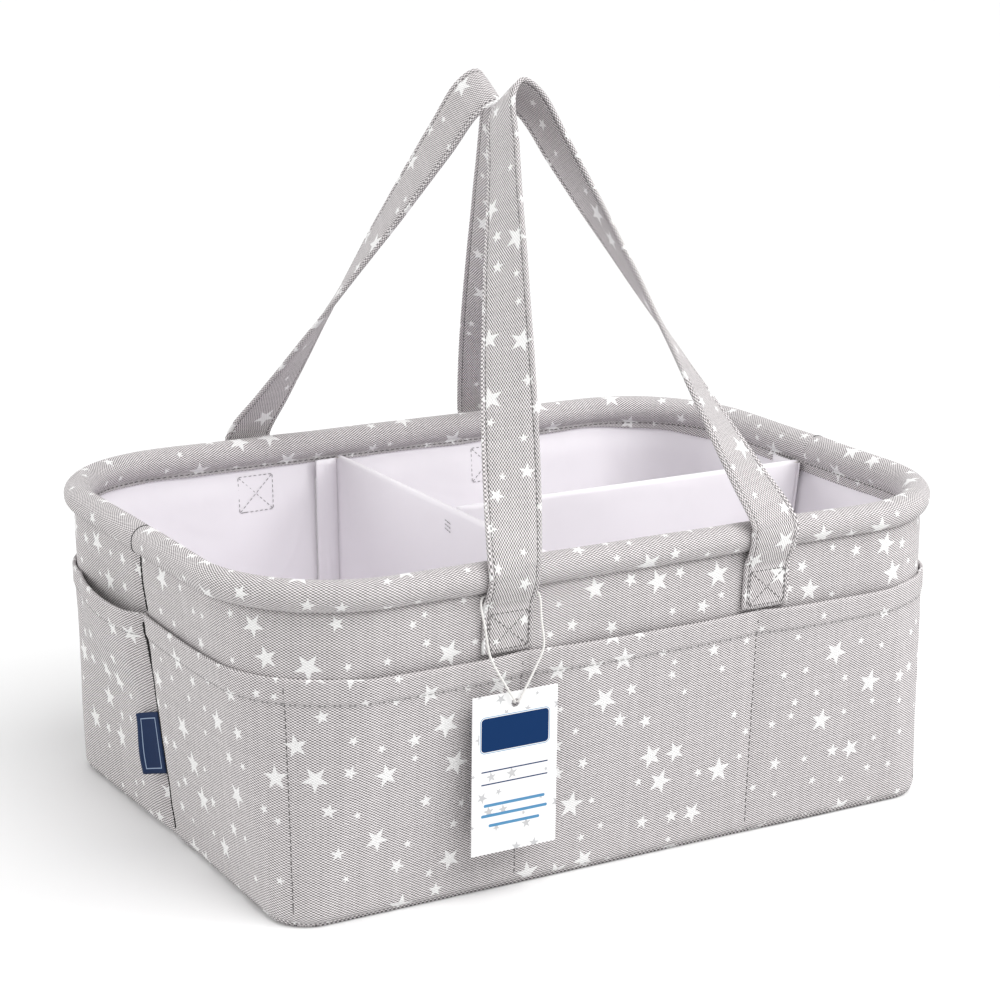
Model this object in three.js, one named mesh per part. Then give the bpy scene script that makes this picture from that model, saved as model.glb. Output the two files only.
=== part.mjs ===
// Fabric diaper caddy: a stiffened canvas basket with a padded rim, a band of outside
// pockets, two strap handles, a T-shaped divider insert and a paper tag on a string.
// Millimetres, +Z up, -Y is the front, the underside is at Z = 0.
import * as THREE from 'three';

// Basket, measured on the outer canvas face
const RIM_LENGTH = 371;
const RIM_DEPTH = 253;
const RIM_CORNER = 62;
const BASE_LENGTH = 341;
const BASE_DEPTH = 240;
const BASE_CORNER = 18;
const RIM_HEIGHT = 144.6;
const END_PULL = 1.5;

// Cloth, padding and boards
const CANVAS = 0.9;
const FOAM = 3;
const LINING = 0.6;
const BASE_BOARD = 3;
const FIT = 0.3;

// Padded rim: a foam rope in a canvas binding whose inner edge is turned down as a hem
const BEAD = 13.6;
const BINDING = 1.2;
const CORE = 10;
const INNER_HEM = 7;

// Outside pockets
const POCKET_HEIGHT = 110;
const POCKET_EASE = 7;
const POCKET_GAPE = 7;
const POCKET_HEM = 11;
const POCKET_SEAM = 62;

// Handles
const STRAP_WIDTH = 25;
const STRAP_THICKNESS = 2.2;
const HANDLE_SPREAD = 134.5;
const HANDLE_CENTRE = -2.75;
const SEWN_LENGTH = 20.6;
const HANDLE_TOP = 334;
const APEX_SETBACK = 12.2;
const LEG_BOW = 1;
const APEX_RADIUS = 7.6;
const TWIST_EASE = 1.45;

// Divider insert
const DIVIDER_TOP = 139;
const DIVIDER_THICKNESS = 4.4;
const CROSS_DIVIDER_X = -26;
const FLAP_WIDTH = 18;
const FLAP_THICKNESS = 0.7;
const FLAP_DROP = 2.5;
const TAPE_WIDTH = 15;
const TAPE_THICKNESS = 0.8;
const TAPE_LENGTH = 95;
const SWING_CLEARANCE = 0.6;
const SEWN_EDGE = 1.8;
const SEWN_TAPER = 8;
const SEWN_GAP = 0.45;

// Side label and hang tag
const LABEL_WIDTH = 15;
const LABEL_HEIGHT = 30;
const LABEL_THICKNESS = 1;
const LABEL_CENTRE = 48;
const LABEL_ANGLE = 50;
const TAG_WIDTH = 42;
const TAG_HEIGHT = 71.5;
const TAG_THICKNESS = 0.6;
const TAG_TOP = 95.5;
const TAG_HOLE = 4;
const TAG_HOLE_DROP = 5;
const STRING = 1;

// Facets
const ARC_STEPS = 8;
const END_STEPS = 3;
const BEAD_STEPS = 14;
const RIM_PASS_STEPS = 12;
const LEG_STEPS = 9;
const CROWN_STEPS = 6;

// Depth of each layer behind the outer canvas face
const FOAM_OUT = CANVAS + FIT;
const FOAM_IN = FOAM_OUT + FOAM;
const LINING_OUT = FOAM_IN + FIT;
const LINING_IN = LINING_OUT + LINING;
const WALL_MIDDLE = LINING_IN / 2;
const WALL_FOOT = CANVAS + FIT;
const FLOOR_FOOT = WALL_FOOT + BASE_BOARD + FIT;
const WALL_TOP = RIM_HEIGHT - CORE / 2 - FIT;
const BEAD_REACH = BEAD / 2 - WALL_MIDDLE;

const clamp01 = (value) => Math.min(1, Math.max(0, value));
const mix = (from, to, share) => from + (to - from) * share;
const smooth = (share) => clamp01(share) ** 2 * (3 - 2 * clamp01(share));

/** Half length, half depth and corner radius of the basket at a height, moved inward by depth. */
function planAt(z, depth = 0) {
  const share = z / RIM_HEIGHT;
  return {
    a: mix(BASE_LENGTH, RIM_LENGTH, share) / 2 - depth,
    b: mix(BASE_DEPTH, RIM_DEPTH, share) / 2 - depth,
    r: Math.max(2, mix(BASE_CORNER, RIM_CORNER, share) - depth),
  };
}

// Run: millimetres along the rim, from the middle of the left end round the front to the right end
const RIM = planAt(RIM_HEIGHT);
const END_RUN = RIM.b - RIM.r;
const ARC_RUN = Math.PI / 2 * RIM.r;
const FRONT_RUN = 2 * (RIM.a - RIM.r);
const HALF_RUN = 2 * END_RUN + 2 * ARC_RUN + FRONT_RUN;
const UPRIGHT_X = HANDLE_SPREAD / 2 + Math.abs(HANDLE_CENTRE) + STRAP_WIDTH;
const runAtX = (x) => END_RUN + ARC_RUN + FRONT_RUN / 2 + x;

/** How far the base of a short end is drawn in, fading out to the rim and to the corners. */
function endPull(z, share) {
  return END_PULL * (1 - z / RIM_HEIGHT) * (1 + Math.cos(Math.PI * clamp01(share))) / 2;
}

/** X on the front wall: upright near the handles, spread to the corner beyond them. */
function frontX(x, plan) {
  const size = Math.abs(x);
  if (size <= UPRIGHT_X) return x;
  const share = (size - UPRIGHT_X) / (RIM.a - RIM.r - UPRIGHT_X);
  return Math.sign(x) * mix(UPRIGHT_X, plan.a - plan.r, share);
}

/** A point of the front half of the wall at a run and height, moved inward by depth. */
function wallPoint(run, z, depth) {
  const plan = planAt(z, depth);
  const { a, b, r } = plan;
  if (run > HALF_RUN / 2) {
    const twin = wallPoint(HALF_RUN - run, z, depth);
    return twin.setX(-twin.x);
  }
  if (run <= END_RUN) {
    const share = run / END_RUN;
    return new THREE.Vector3(-a + endPull(z, share), -(b - r) * share, z);
  }
  if (run < END_RUN + ARC_RUN) {
    const turn = (run - END_RUN) / ARC_RUN * Math.PI / 2;
    return new THREE.Vector3(-(a - r) - r * Math.cos(turn), -(b - r) - r * Math.sin(turn), z);
  }
  return new THREE.Vector3(frontX(run - runAtX(0), plan), -b, z);
}

const wallY = (z, depth) => planAt(z, depth).b;
const endX = (y, z, depth) => planAt(z, depth).a - endPull(z, Math.abs(y) / END_RUN);

/** Stations along the front half that every layer shares, so that their facets lie parallel. */
function wallStations(from = 0, to = HALF_RUN, extra = []) {
  const left = [];
  for (let i = 0; i < END_STEPS; i++) left.push(END_RUN * i / END_STEPS);
  for (let i = 0; i <= ARC_STEPS; i++) left.push(END_RUN + ARC_RUN * i / ARC_STEPS);
  left.push(runAtX(-UPRIGHT_X));
  const all = [...left, ...left.map((run) => HALF_RUN - run), ...extra];
  const inside = all.filter((run) => run >= from && run <= to).sort((p, q) => p - q);
  return inside.filter((run, i) => i === 0 || run - inside[i - 1] > 0.5);
}

/** Triangles over one end ring of a loft, turned the same way as the ring or against it. */
function capFaces(ring, offset, along) {
  const normal = new THREE.Vector3();
  ring.forEach((point, i) => normal.add(point.clone().cross(ring[(i + 1) % ring.length])));
  normal.normalize();
  const side = new THREE.Vector3().subVectors(ring[1], ring[0]).normalize();
  const up = new THREE.Vector3().crossVectors(normal, side);
  const flat = ring.map((point) => new THREE.Vector2(point.dot(side), point.dot(up)));
  return THREE.ShapeUtils.triangulateShape(flat, []).flatMap(([i, j, k]) => {
    const area = flat[j].clone().sub(flat[i]).cross(flat[k].clone().sub(flat[i]));
    const face = area > 0 === along ? [i, j, k] : [i, k, j];
    return face.map((corner) => corner + offset);
  });
}

/** Geometry from shared points and faces, with the faces turned outward. */
function solid(points, faces) {
  let volume = 0;
  for (let i = 0; i < faces.length; i += 3) {
    const [p, q, s] = [points[faces[i]], points[faces[i + 1]], points[faces[i + 2]]];
    volume += p.dot(q.clone().cross(s));
  }
  if (volume < 0) faces.reverse();
  const geometry = new THREE.BufferGeometry();
  geometry.setAttribute('position', new THREE.Float32BufferAttribute(points.flatMap((p) => p.toArray()), 3));
  geometry.setIndex(faces);
  geometry.computeVertexNormals();
  return geometry;
}

/** One closed solid through a row of rings of equal count. Layers side by side split alike. */
function loft(rings) {
  const count = rings[0].length;
  const faces = [];
  for (let i = 0; i + 1 < rings.length; i++) {
    for (let j = 0; j < count; j++) {
      const near = i * count + j;
      const next = i * count + (j + 1) % count;
      const rising = rings[i][j].z <= rings[i][(j + 1) % count].z;
      if (rising) faces.push(near, next, next + count, near, next + count, near + count);
      else faces.push(near, next, near + count, next, next + count, near + count);
    }
  }
  faces.push(...capFaces(rings[0], 0, false));
  faces.push(...capFaces(rings.at(-1), (rings.length - 1) * count, true));
  return solid(rings.flat(), faces);
}

/** The same solid on the other side of the basket. */
function mirrored(geometry) {
  const twin = geometry.clone().scale(1, -1, 1);
  twin.index.array.reverse();
  twin.computeVertexNormals();
  return twin;
}

/** A solid that follows the front half of the wall; profile gives [depth, z] corners at a run. */
function alongWall(stations, profile) {
  return loft(stations.map((run) => profile(run).map(([depth, z]) => wallPoint(run, z, depth))));
}

/** A flat layer of the wall between two depths and two heights. */
function wallLayer(outer, inner, foot, top, from = FIT / 2, to = HALF_RUN - FIT / 2) {
  const stations = wallStations(from, to, [from, to]);
  return alongWall(stations, () => [[outer, foot], [outer, top], [inner, top], [inner, foot]]);
}

/** A plate with the basket's outline at one height, moved inward by depth. */
function floorPlate(depth, foot, thickness) {
  const front = wallStations().map((run) => wallPoint(run, foot, depth));
  const back = front.slice(1, -1).reverse().map((point) => point.clone().setY(-point.y));
  const shape = new THREE.Shape([...front, ...back].map((point) => new THREE.Vector2(point.x, point.y)));
  const plate = new THREE.ExtrudeGeometry(shape, { depth: thickness, bevelEnabled: false });
  return plate.translate(0, 0, foot);
}

/** Binding: from the outside of the wall over the rope and down the inside as a hem. */
function rimBinding() {
  const outer = BEAD / 2;
  const inner = outer - BINDING;
  const gap = Math.asin((WALL_MIDDLE + FIT) / inner);
  const arc = (radius, turn) => [WALL_MIDDLE - radius * Math.sin(turn), RIM_HEIGHT - radius * Math.cos(turn)];
  const turns = Array.from({ length: BEAD_STEPS + 1 }, (_, i) => mix(gap, 2 * Math.PI - gap, i / BEAD_STEPS));
  const [hemDepth, hemTop] = arc(inner, turns.at(-1));
  const hemFoot = hemTop - INNER_HEM;
  const profile = [
    ...turns.map((turn) => arc(inner, turn)),
    [hemDepth, hemFoot],
    [hemDepth + CANVAS, hemFoot],
    ...turns.toReversed().map((turn) => arc(outer, turn)),
  ];
  return alongWall(wallStations(FIT / 2, HALF_RUN - FIT / 2, [FIT / 2, HALF_RUN - FIT / 2]), () => profile);
}

/** Foam rope inside the binding. */
function rimCore() {
  const ends = [FIT / 2, HALF_RUN - FIT / 2];
  const profile = Array.from({ length: BEAD_STEPS }, (_, i) => {
    const turn = 2 * Math.PI * i / BEAD_STEPS;
    return [WALL_MIDDLE + CORE / 2 * Math.cos(turn), RIM_HEIGHT + CORE / 2 * Math.sin(turn)];
  });
  return alongWall(wallStations(...ends, ends), () => profile);
}

/** Canvas strip sewn to the wall at upright seams: tight round the corners, easy between them. */
function pocketBand(leftEndEase) {
  const ends = [FIT / 2, HALF_RUN - FIT / 2];
  const lobes = [
    { from: ends[0], to: END_RUN, ease: leftEndEase },
    { from: END_RUN + ARC_RUN, to: runAtX(-POCKET_SEAM), ease: POCKET_EASE },
    { from: runAtX(-POCKET_SEAM), to: runAtX(POCKET_SEAM), ease: POCKET_EASE },
    { from: runAtX(POCKET_SEAM), to: HALF_RUN - END_RUN - ARC_RUN, ease: POCKET_EASE },
    { from: HALF_RUN - END_RUN, to: ends[1], ease: POCKET_EASE },
  ];
  const lobeSteps = [0, 0.08, 0.2, 0.4, 0.6, 0.8, 0.92, 1];
  const stations = lobes.flatMap(({ from, to }) => lobeSteps.map((step) => mix(from, to, step)));
  const standOff = (run, z) => {
    const lobe = lobes.find(({ from, to }) => run > from && run < to);
    if (!lobe) return 0;
    const share = (run - lobe.from) / (lobe.to - lobe.from);
    return lobe.ease * (1 - Math.abs(2 * share - 1) ** 4) * smooth((z - WALL_FOOT) / (0.6 * POCKET_HEIGHT));
  };
  const hemFoot = POCKET_HEIGHT - POCKET_HEM;
  const levels = [WALL_FOOT, 0.2 * POCKET_HEIGHT, 0.42 * POCKET_HEIGHT, 0.66 * POCKET_HEIGHT, hemFoot - CANVAS];
  const profile = (run) => [
    ...levels.map((z) => [-FIT - CANVAS - standOff(run, z), z]),
    ...[hemFoot, POCKET_HEIGHT].map((z) => [-FIT - 2 * CANVAS - standOff(run, z), z]),
    ...[POCKET_HEIGHT, ...levels.toReversed()].map((z) => [-FIT - standOff(run, z), z]),
  ];
  return alongWall(wallStations(...ends, [...ends, ...stations]), profile);
}

const SEWN_FOOT = POCKET_HEIGHT + FIT;
const SEWN_TOP = SEWN_FOOT + SEWN_LENGTH;

/** Strap end that lies flat on the wall above the pocket mouth. */
function handleEnd(x) {
  const [near, far] = [-FIT, -FIT - STRAP_THICKNESS];
  const profile = [[far, SEWN_FOOT], [far, SEWN_TOP], [near, SEWN_TOP], [near, SEWN_FOOT]];
  return alongWall([runAtX(x - STRAP_WIDTH / 2), runAtX(x + STRAP_WIDTH / 2)], () => profile);
}

// Handle path: the leg leaves its sewn end, passes outside the rim and leans in to the top
const STRAP_MIDDLE = -FIT - STRAP_THICKNESS / 2;
const BEAD_PASS = -BEAD_REACH - FIT - STRAP_THICKNESS / 2 - FIT / 2;
const RIM_PASS_Y = -wallY(RIM_HEIGHT, BEAD_PASS);
const LEAN_FROM = RIM_HEIGHT + BEAD / 2;
const LEAN = Math.atan2(-APEX_SETBACK - RIM_PASS_Y, HANDLE_TOP - LEAN_FROM);

/** Points of one leg, from the sewn end up to the shoulder beside the top. */
function legPoints(side) {
  const half = HANDLE_SPREAD / 2;
  const leaning = (z) => RIM_PASS_Y + Math.tan(LEAN) * (z - LEAN_FROM);
  const share = (z) => (z - LEAN_FROM) / (HANDLE_TOP - LEAN_FROM);
  const legX = (z) => mix(half, APEX_RADIUS * 0.7, share(z)) + LEG_BOW * Math.sin(Math.PI * share(z));
  const lower = [
    [half, -wallY(SEWN_TOP, STRAP_MIDDLE), SEWN_TOP + FIT],
    [half, -wallY(SEWN_TOP, STRAP_MIDDLE), SEWN_TOP + FIT + STRAP_THICKNESS / 2],
    [half, mix(-wallY(SEWN_TOP, STRAP_MIDDLE), RIM_PASS_Y, 0.62), mix(SEWN_TOP, RIM_HEIGHT, 0.5)],
    [half, RIM_PASS_Y, RIM_HEIGHT],
    [half, RIM_PASS_Y + FIT, LEAN_FROM],
  ];
  const upper = [0.12, 0.3, 0.5, 0.7, 0.86, 0.97].map((step) => {
    const z = mix(LEAN_FROM, HANDLE_TOP, step);
    return [legX(z), leaning(z), z];
  });
  return [...lower, ...upper].map(([x, y, z]) => new THREE.Vector3(HANDLE_CENTRE + side * x, y, z));
}

/** Shares of the strap's length: close beside the rim and over the top, wider on the legs. */
function strapStations(pass, crown) {
  const zone = (from, to, steps) => Array.from({ length: steps }, (_, i) => mix(from, to, i / steps));
  const leg = [...zone(0, pass, RIM_PASS_STEPS), ...zone(pass, crown, LEG_STEPS), ...zone(crown, 0.5, CROWN_STEPS)];
  return [...leg, 0.5, ...leg.toReversed().map((share) => 1 - share)];
}

/** Strap bent over the top and turned a quarter on each leg, flat on the wall at both ends. */
function handleStrap() {
  const apex = new THREE.Vector3(HANDLE_CENTRE, -APEX_SETBACK, HANDLE_TOP);
  const path = new THREE.CatmullRomCurve3([...legPoints(-1), apex, ...legPoints(1).reverse()], false, 'centripetal');
  path.arcLengthDivisions = 800;
  const straightShare = (LEAN_FROM - SEWN_TOP) / path.getLength();
  const rings = [];
  for (const share of strapStations(2 * straightShare, 0.5 - 2.5 * APEX_RADIUS / path.getLength())) {
    const centre = path.getPointAt(share);
    const along = path.getTangentAt(share);
    const lean = Math.abs(share - 0.5) < 0.4 ? LEAN : Math.atan2(Math.sign(0.5 - share) * along.y,
      Math.sign(0.5 - share) * along.z);
    const outward = new THREE.Vector3(0, -Math.cos(lean), Math.sin(lean));
    outward.addScaledVector(along, -outward.dot(along)).normalize();
    const over = new THREE.Vector3().crossVectors(outward, along);
    const climb = clamp01((Math.min(share, 1 - share) - straightShare) / (0.5 - straightShare));
    const turn = Math.PI / 2 * (1 - (1 - climb) ** TWIST_EASE);
    const face = outward.multiplyScalar(Math.cos(turn)).addScaledVector(over, Math.sin(turn));
    const across = new THREE.Vector3().crossVectors(along, face);
    rings.push([[-1, -1], [1, -1], [1, 1], [-1, 1]].map(([u, v]) => centre.clone()
      .addScaledVector(across, u * STRAP_WIDTH / 2).addScaledVector(face, v * STRAP_THICKNESS / 2)));
  }
  return loft(rings);
}

// Divider insert: layers between the lining and the end of a panel
const LOOP_DEPTH = LINING_IN + FIT;
const HOOK_DEPTH = LOOP_DEPTH + TAPE_THICKNESS + FIT;
const FLAP_DEPTH = HOOK_DEPTH + TAPE_THICKNESS + FIT;
const PANEL_DEPTH = FLAP_DEPTH + FLAP_THICKNESS + FIT;
const PANEL_FOOT = FLOOR_FOOT + LINING + FIT;
const HEM_FOOT = RIM_HEIGHT - (BEAD / 2 - BINDING) - INNER_HEM;
const FLAP_TOP = Math.min(DIVIDER_TOP, HEM_FOOT) - FIT - FLAP_DROP / 2;
const TAPE_TOP = FLAP_TOP - FLAP_DROP;
const HALF_PANEL = DIVIDER_THICKNESS / 2;
const CORE_HALF = HALF_PANEL - LINING - FIT;

/** Corners [side, z] of a cover folded over the board's top edge and open below. */
const COVER = [
  [-HALF_PANEL, PANEL_FOOT], [-HALF_PANEL, DIVIDER_TOP], [HALF_PANEL, DIVIDER_TOP], [HALF_PANEL, PANEL_FOOT],
  [HALF_PANEL - LINING, PANEL_FOOT], [HALF_PANEL - LINING, DIVIDER_TOP - LINING],
  [-HALF_PANEL + LINING, DIVIDER_TOP - LINING], [-HALF_PANEL + LINING, PANEL_FOOT],
];

/** Corners [side, z] of the board inside the cover. */
const BOARD = [
  [-CORE_HALF, PANEL_FOOT + FIT], [-CORE_HALF, DIVIDER_TOP - LINING - FIT],
  [CORE_HALF, DIVIDER_TOP - LINING - FIT], [CORE_HALF, PANEL_FOOT + FIT],
];

/** A panel across the basket, its ends following the slope of both long walls. */
function crossPanel(profile, setback) {
  const ring = (side) => profile.map(([x, z]) => new THREE.Vector3(
    CROSS_DIVIDER_X + x, side * wallY(z, PANEL_DEPTH + setback), z));
  return loft([ring(-1), ring(1)]);
}

/** A panel from the cross panel to the right end, pressed thin where it is sewn to the cross panel. */
function longPanel(profile, setback, sewn) {
  const start = CROSS_DIVIDER_X + HALF_PANEL + SEWN_GAP;
  const ring = (x, pinch) => profile.map(([y, z]) => new THREE.Vector3(x, Math.sign(y) * Math.max(
    FIT, Math.abs(y) - pinch), z));
  const far = profile.map(([y, z]) => new THREE.Vector3(
    endX(0, z, PANEL_DEPTH + SWING_CLEARANCE + setback), y, z));
  const full = ring(start + SEWN_TAPER + setback, 0);
  return loft(sewn ? [ring(start, HALF_PANEL - SEWN_EDGE / 2), full, far] : [full, far]);
}

/** A strip on the inside of the front wall, left of the cross panel. */
function wallStrip(depth, thickness, width, foot, top, lap) {
  const right = CROSS_DIVIDER_X + lap;
  const profile = [[depth, foot], [depth, top], [depth + thickness, top], [depth + thickness, foot]];
  return alongWall([runAtX(right - width), runAtX(right)], () => profile);
}

/** A strip on the inside of the right end, behind the long panel. */
function endStrip(depth, thickness, width, foot, top, lap) {
  const corners = [[depth, foot], [depth, top], [depth + thickness, top], [depth + thickness, foot]];
  const ring = (y) => corners.map(([inset, z]) => new THREE.Vector3(endX(0, z, inset), y, z));
  return loft([ring(-lap), ring(width - lap)]);
}

/** Folded tab in the left end seam, leaning back over the pocket. */
function sideLabel() {
  const lean = THREE.MathUtils.degToRad(LABEL_ANGLE);
  const reach = (z) => -endX(0, z, -FIT - CANVAS - FIT);
  const out = new THREE.Vector2(-Math.sin(lean), Math.cos(lean));
  const across = new THREE.Vector2(out.y, -out.x).multiplyScalar(LABEL_THICKNESS);
  const ring = (z) => {
    const root = new THREE.Vector2(reach(z), 0);
    const tip = root.clone().addScaledVector(out, LABEL_WIDTH);
    const corners = [root, tip, tip.clone().sub(across), root.clone().sub(across)];
    return corners.map((corner) => new THREE.Vector3(corner.x, corner.y, z));
  };
  return loft([ring(LABEL_CENTRE - LABEL_HEIGHT / 2), ring(LABEL_CENTRE + LABEL_HEIGHT / 2)]);
}

// Hang tag: beside the pocket's fullest point, hung from the left leg of the front handle
const TAG_X = HANDLE_CENTRE - HANDLE_SPREAD / 2;
const TAG_BACK = -wallY(TAG_TOP, -FIT - 2 * CANVAS - POCKET_EASE - FIT);
const TAG_MIDDLE = TAG_BACK - TAG_THICKNESS / 2;
const HOLE_Z = TAG_TOP - TAG_HOLE_DROP;

/** Card with a punched hole, hanging upright. */
function hangTag() {
  const [half, foot] = [TAG_WIDTH / 2, TAG_TOP - TAG_HEIGHT];
  const card = new THREE.Shape();
  card.moveTo(-half, foot).lineTo(half, foot).lineTo(half, TAG_TOP).lineTo(-half, TAG_TOP);
  card.closePath();
  card.holes.push(new THREE.Path().absarc(0, HOLE_Z, TAG_HOLE / 2, 0, 2 * Math.PI, true));
  const options = { depth: TAG_THICKNESS, bevelEnabled: false, curveSegments: 12 };
  return new THREE.ExtrudeGeometry(card, options).rotateX(Math.PI / 2).translate(TAG_X, TAG_BACK, 0);
}

/** String: through the hole, up beside the strap, round behind it and back down. */
function tagString() {
  const half = [
    [0.75, TAG_MIDDLE, HOLE_Z + 0.3],
    [0.95, TAG_MIDDLE - 1.4, HOLE_Z + 1],
    [4.6, TAG_MIDDLE - 1.5, TAG_TOP + 2],
    [9.6, TAG_MIDDLE - 1.2, 106],
    [13.2, TAG_MIDDLE - 0.9, 113.5],
    [13.8, -131.6, 125],
    [14.3, -128.8, 134.6],
    [12.6, -127.5, 137],
    [8, -127.4, 137.1],
  ];
  const left = half.map(([x, y, z]) => new THREE.Vector3(TAG_X - x, y, z));
  const right = half.map(([x, y, z]) => new THREE.Vector3(TAG_X + x, y, z));
  const path = new THREE.CatmullRomCurve3([...left, ...right.reverse()], false, 'centripetal');
  const round = new THREE.Shape().absarc(0, 0, STRING / 2, 0, 2 * Math.PI, false);
  return new THREE.ExtrudeGeometry(round, { steps: 64, curveSegments: 4, extrudePath: path, bevelEnabled: false });
}

// Materials
const finish = (color, roughness) => new THREE.MeshStandardMaterial({ color, roughness, metalness: 0 });
const canvas = finish(0xc9c5c3, 0.95);
const lining = finish(0xf1eff4, 0.7);
const foam = finish(0xe6e6e2, 0.95);
const board = finish(0xd9d4c8, 0.8);
const tape = finish(0xf4f4f4, 0.9);
const labelCloth = finish(0x1f3b70, 0.8);
const paper = finish(0xfafafa, 0.6);
const cotton = finish(0xf3f1ec, 0.9);

const caddy = new THREE.Group();

/** Adds one named piece. */
function add(name, geometry, material) {
  const mesh = new THREE.Mesh(geometry, material);
  mesh.name = name;
  caddy.add(mesh);
}

/** Adds a piece of the front half and its twin on the back half. */
function addPair(name, geometry, material) {
  add(`${name}_front`, geometry, material);
  add(`${name}_back`, mirrored(geometry), material);
}

// Basket
addPair('outer_canvas', wallLayer(0, CANVAS, WALL_FOOT, WALL_TOP), canvas);
addPair('stiffener', wallLayer(FOAM_OUT, FOAM_IN, WALL_FOOT, WALL_TOP), foam);
addPair('lining', wallLayer(LINING_OUT, LINING_IN, FLOOR_FOOT, WALL_TOP), lining);
add('outer_canvas_base', floorPlate(0, 0, CANVAS), canvas);
add('base_board', floorPlate(FOAM_IN + FIT, WALL_FOOT, BASE_BOARD), board);
add('lining_floor', floorPlate(LINING_IN + FIT, FLOOR_FOOT, LINING), lining);

// Rim and pockets
addPair('rim_core', rimCore(), foam);
addPair('rim_binding', rimBinding(), canvas);
add('pocket_band_front', pocketBand(POCKET_EASE), canvas);
add('pocket_band_back', mirrored(pocketBand(POCKET_GAPE)), canvas);

// Handles
addPair('handle_end_left', handleEnd(HANDLE_CENTRE - HANDLE_SPREAD / 2), canvas);
addPair('handle_end_right', handleEnd(HANDLE_CENTRE + HANDLE_SPREAD / 2), canvas);
addPair('handle_strap', handleStrap(), canvas);

// Divider insert
add('cross_divider_cover', crossPanel(COVER, 0), lining);
add('cross_divider_board', crossPanel(BOARD, FIT), board);
addPair('cross_divider_flap', wallStrip(FLAP_DEPTH, FLAP_THICKNESS, FLAP_WIDTH + DIVIDER_THICKNESS, PANEL_FOOT,
  FLAP_TOP, HALF_PANEL), lining);
addPair('cross_hook_tape', wallStrip(HOOK_DEPTH, TAPE_THICKNESS, TAPE_WIDTH, TAPE_TOP - TAPE_LENGTH, TAPE_TOP,
  -HALF_PANEL), tape);
addPair('cross_loop_tape', wallStrip(LOOP_DEPTH, TAPE_THICKNESS, TAPE_WIDTH, TAPE_TOP - TAPE_LENGTH, TAPE_TOP,
  -HALF_PANEL), tape);
add('long_divider_cover', longPanel(COVER, 0, true), lining);
add('long_divider_board', longPanel(BOARD, FIT, false), board);
add('long_divider_flap', endStrip(FLAP_DEPTH + SWING_CLEARANCE, FLAP_THICKNESS, FLAP_WIDTH + DIVIDER_THICKNESS,
  PANEL_FOOT, FLAP_TOP, HALF_PANEL), lining);
add('long_hook_tape', endStrip(HOOK_DEPTH + SWING_CLEARANCE, TAPE_THICKNESS, TAPE_WIDTH, TAPE_TOP - TAPE_LENGTH,
  TAPE_TOP, -HALF_PANEL), tape);
add('long_loop_tape', endStrip(LOOP_DEPTH, TAPE_THICKNESS, TAPE_WIDTH, TAPE_TOP - TAPE_LENGTH, TAPE_TOP,
  -HALF_PANEL), tape);

// Label and tag
add('side_label', sideLabel(), labelCloth);
add('hang_tag', hangTag(), paper);
add('tag_string', tagString(), cotton);

export default caddy;
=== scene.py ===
"""Looks of a fabric diaper caddy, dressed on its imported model. All lengths are metres."""

import logging
import math
from dataclasses import dataclass
from enum import Enum
from itertools import accumulate, pairwise
from typing import Callable, Sequence

import bmesh
import bpy
from mathutils import Matrix, Quaternion, Vector, noise


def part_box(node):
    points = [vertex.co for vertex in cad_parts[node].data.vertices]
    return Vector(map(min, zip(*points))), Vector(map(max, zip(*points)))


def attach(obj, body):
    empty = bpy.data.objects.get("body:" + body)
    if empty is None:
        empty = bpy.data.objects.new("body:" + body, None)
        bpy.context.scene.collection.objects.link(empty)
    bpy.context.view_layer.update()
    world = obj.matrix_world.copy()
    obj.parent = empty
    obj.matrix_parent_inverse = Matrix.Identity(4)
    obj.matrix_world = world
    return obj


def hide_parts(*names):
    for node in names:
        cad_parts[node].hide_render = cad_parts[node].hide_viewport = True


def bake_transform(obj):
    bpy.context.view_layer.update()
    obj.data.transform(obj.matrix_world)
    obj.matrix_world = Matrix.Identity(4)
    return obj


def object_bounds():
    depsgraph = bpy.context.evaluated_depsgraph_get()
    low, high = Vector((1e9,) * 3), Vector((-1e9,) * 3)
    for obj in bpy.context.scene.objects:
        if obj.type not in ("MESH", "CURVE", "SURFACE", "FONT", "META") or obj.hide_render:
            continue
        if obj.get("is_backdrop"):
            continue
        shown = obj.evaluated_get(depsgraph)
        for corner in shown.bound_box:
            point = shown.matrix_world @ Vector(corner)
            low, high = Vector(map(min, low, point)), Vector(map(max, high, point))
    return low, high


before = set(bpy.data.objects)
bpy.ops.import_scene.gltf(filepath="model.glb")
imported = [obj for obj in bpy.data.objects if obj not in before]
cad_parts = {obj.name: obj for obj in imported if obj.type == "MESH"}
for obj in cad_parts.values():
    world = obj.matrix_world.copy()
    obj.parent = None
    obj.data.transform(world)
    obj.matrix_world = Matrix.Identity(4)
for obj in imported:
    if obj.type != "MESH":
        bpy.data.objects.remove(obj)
CAD_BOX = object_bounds()
LOG = logging.getLogger("caddy")
CLOTH_UV = "cloth"

Pair = tuple[float, float]
Triple = tuple[float, float, float]
Colour = tuple[float, float, float, float]
Piece = bpy.types.Object
Finish = bpy.types.Material
Socket = bpy.types.NodeSocket
Station = tuple[Vector, Vector, Vector, float]
Placing = Callable[[int, int], Vector]
Cutting = Callable[[int, int], Pair]
Facing = Callable[[Vector, float], Vector]
Given = Socket | float | Sequence[float]


class Side(Enum):
    """Half of the caddy, by the sign of Y."""

    FRONT = -1.0
    BACK = 1.0

    @property
    def word(self) -> str:
        """The half's name as it stands in the names of pieces."""
        return self.name.lower()

    def pick(self, front: float, back: float) -> float:
        """Return the number that goes with this half."""
        return front if self is Side.FRONT else back


class Body(Enum):
    """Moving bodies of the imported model."""

    CADDY = "caddy"
    FRONT_HANDLE = "front_handle"
    BACK_HANDLE = "back_handle"
    LONG_DIVIDER = "long_divider"
    TAG = "tag"


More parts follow.
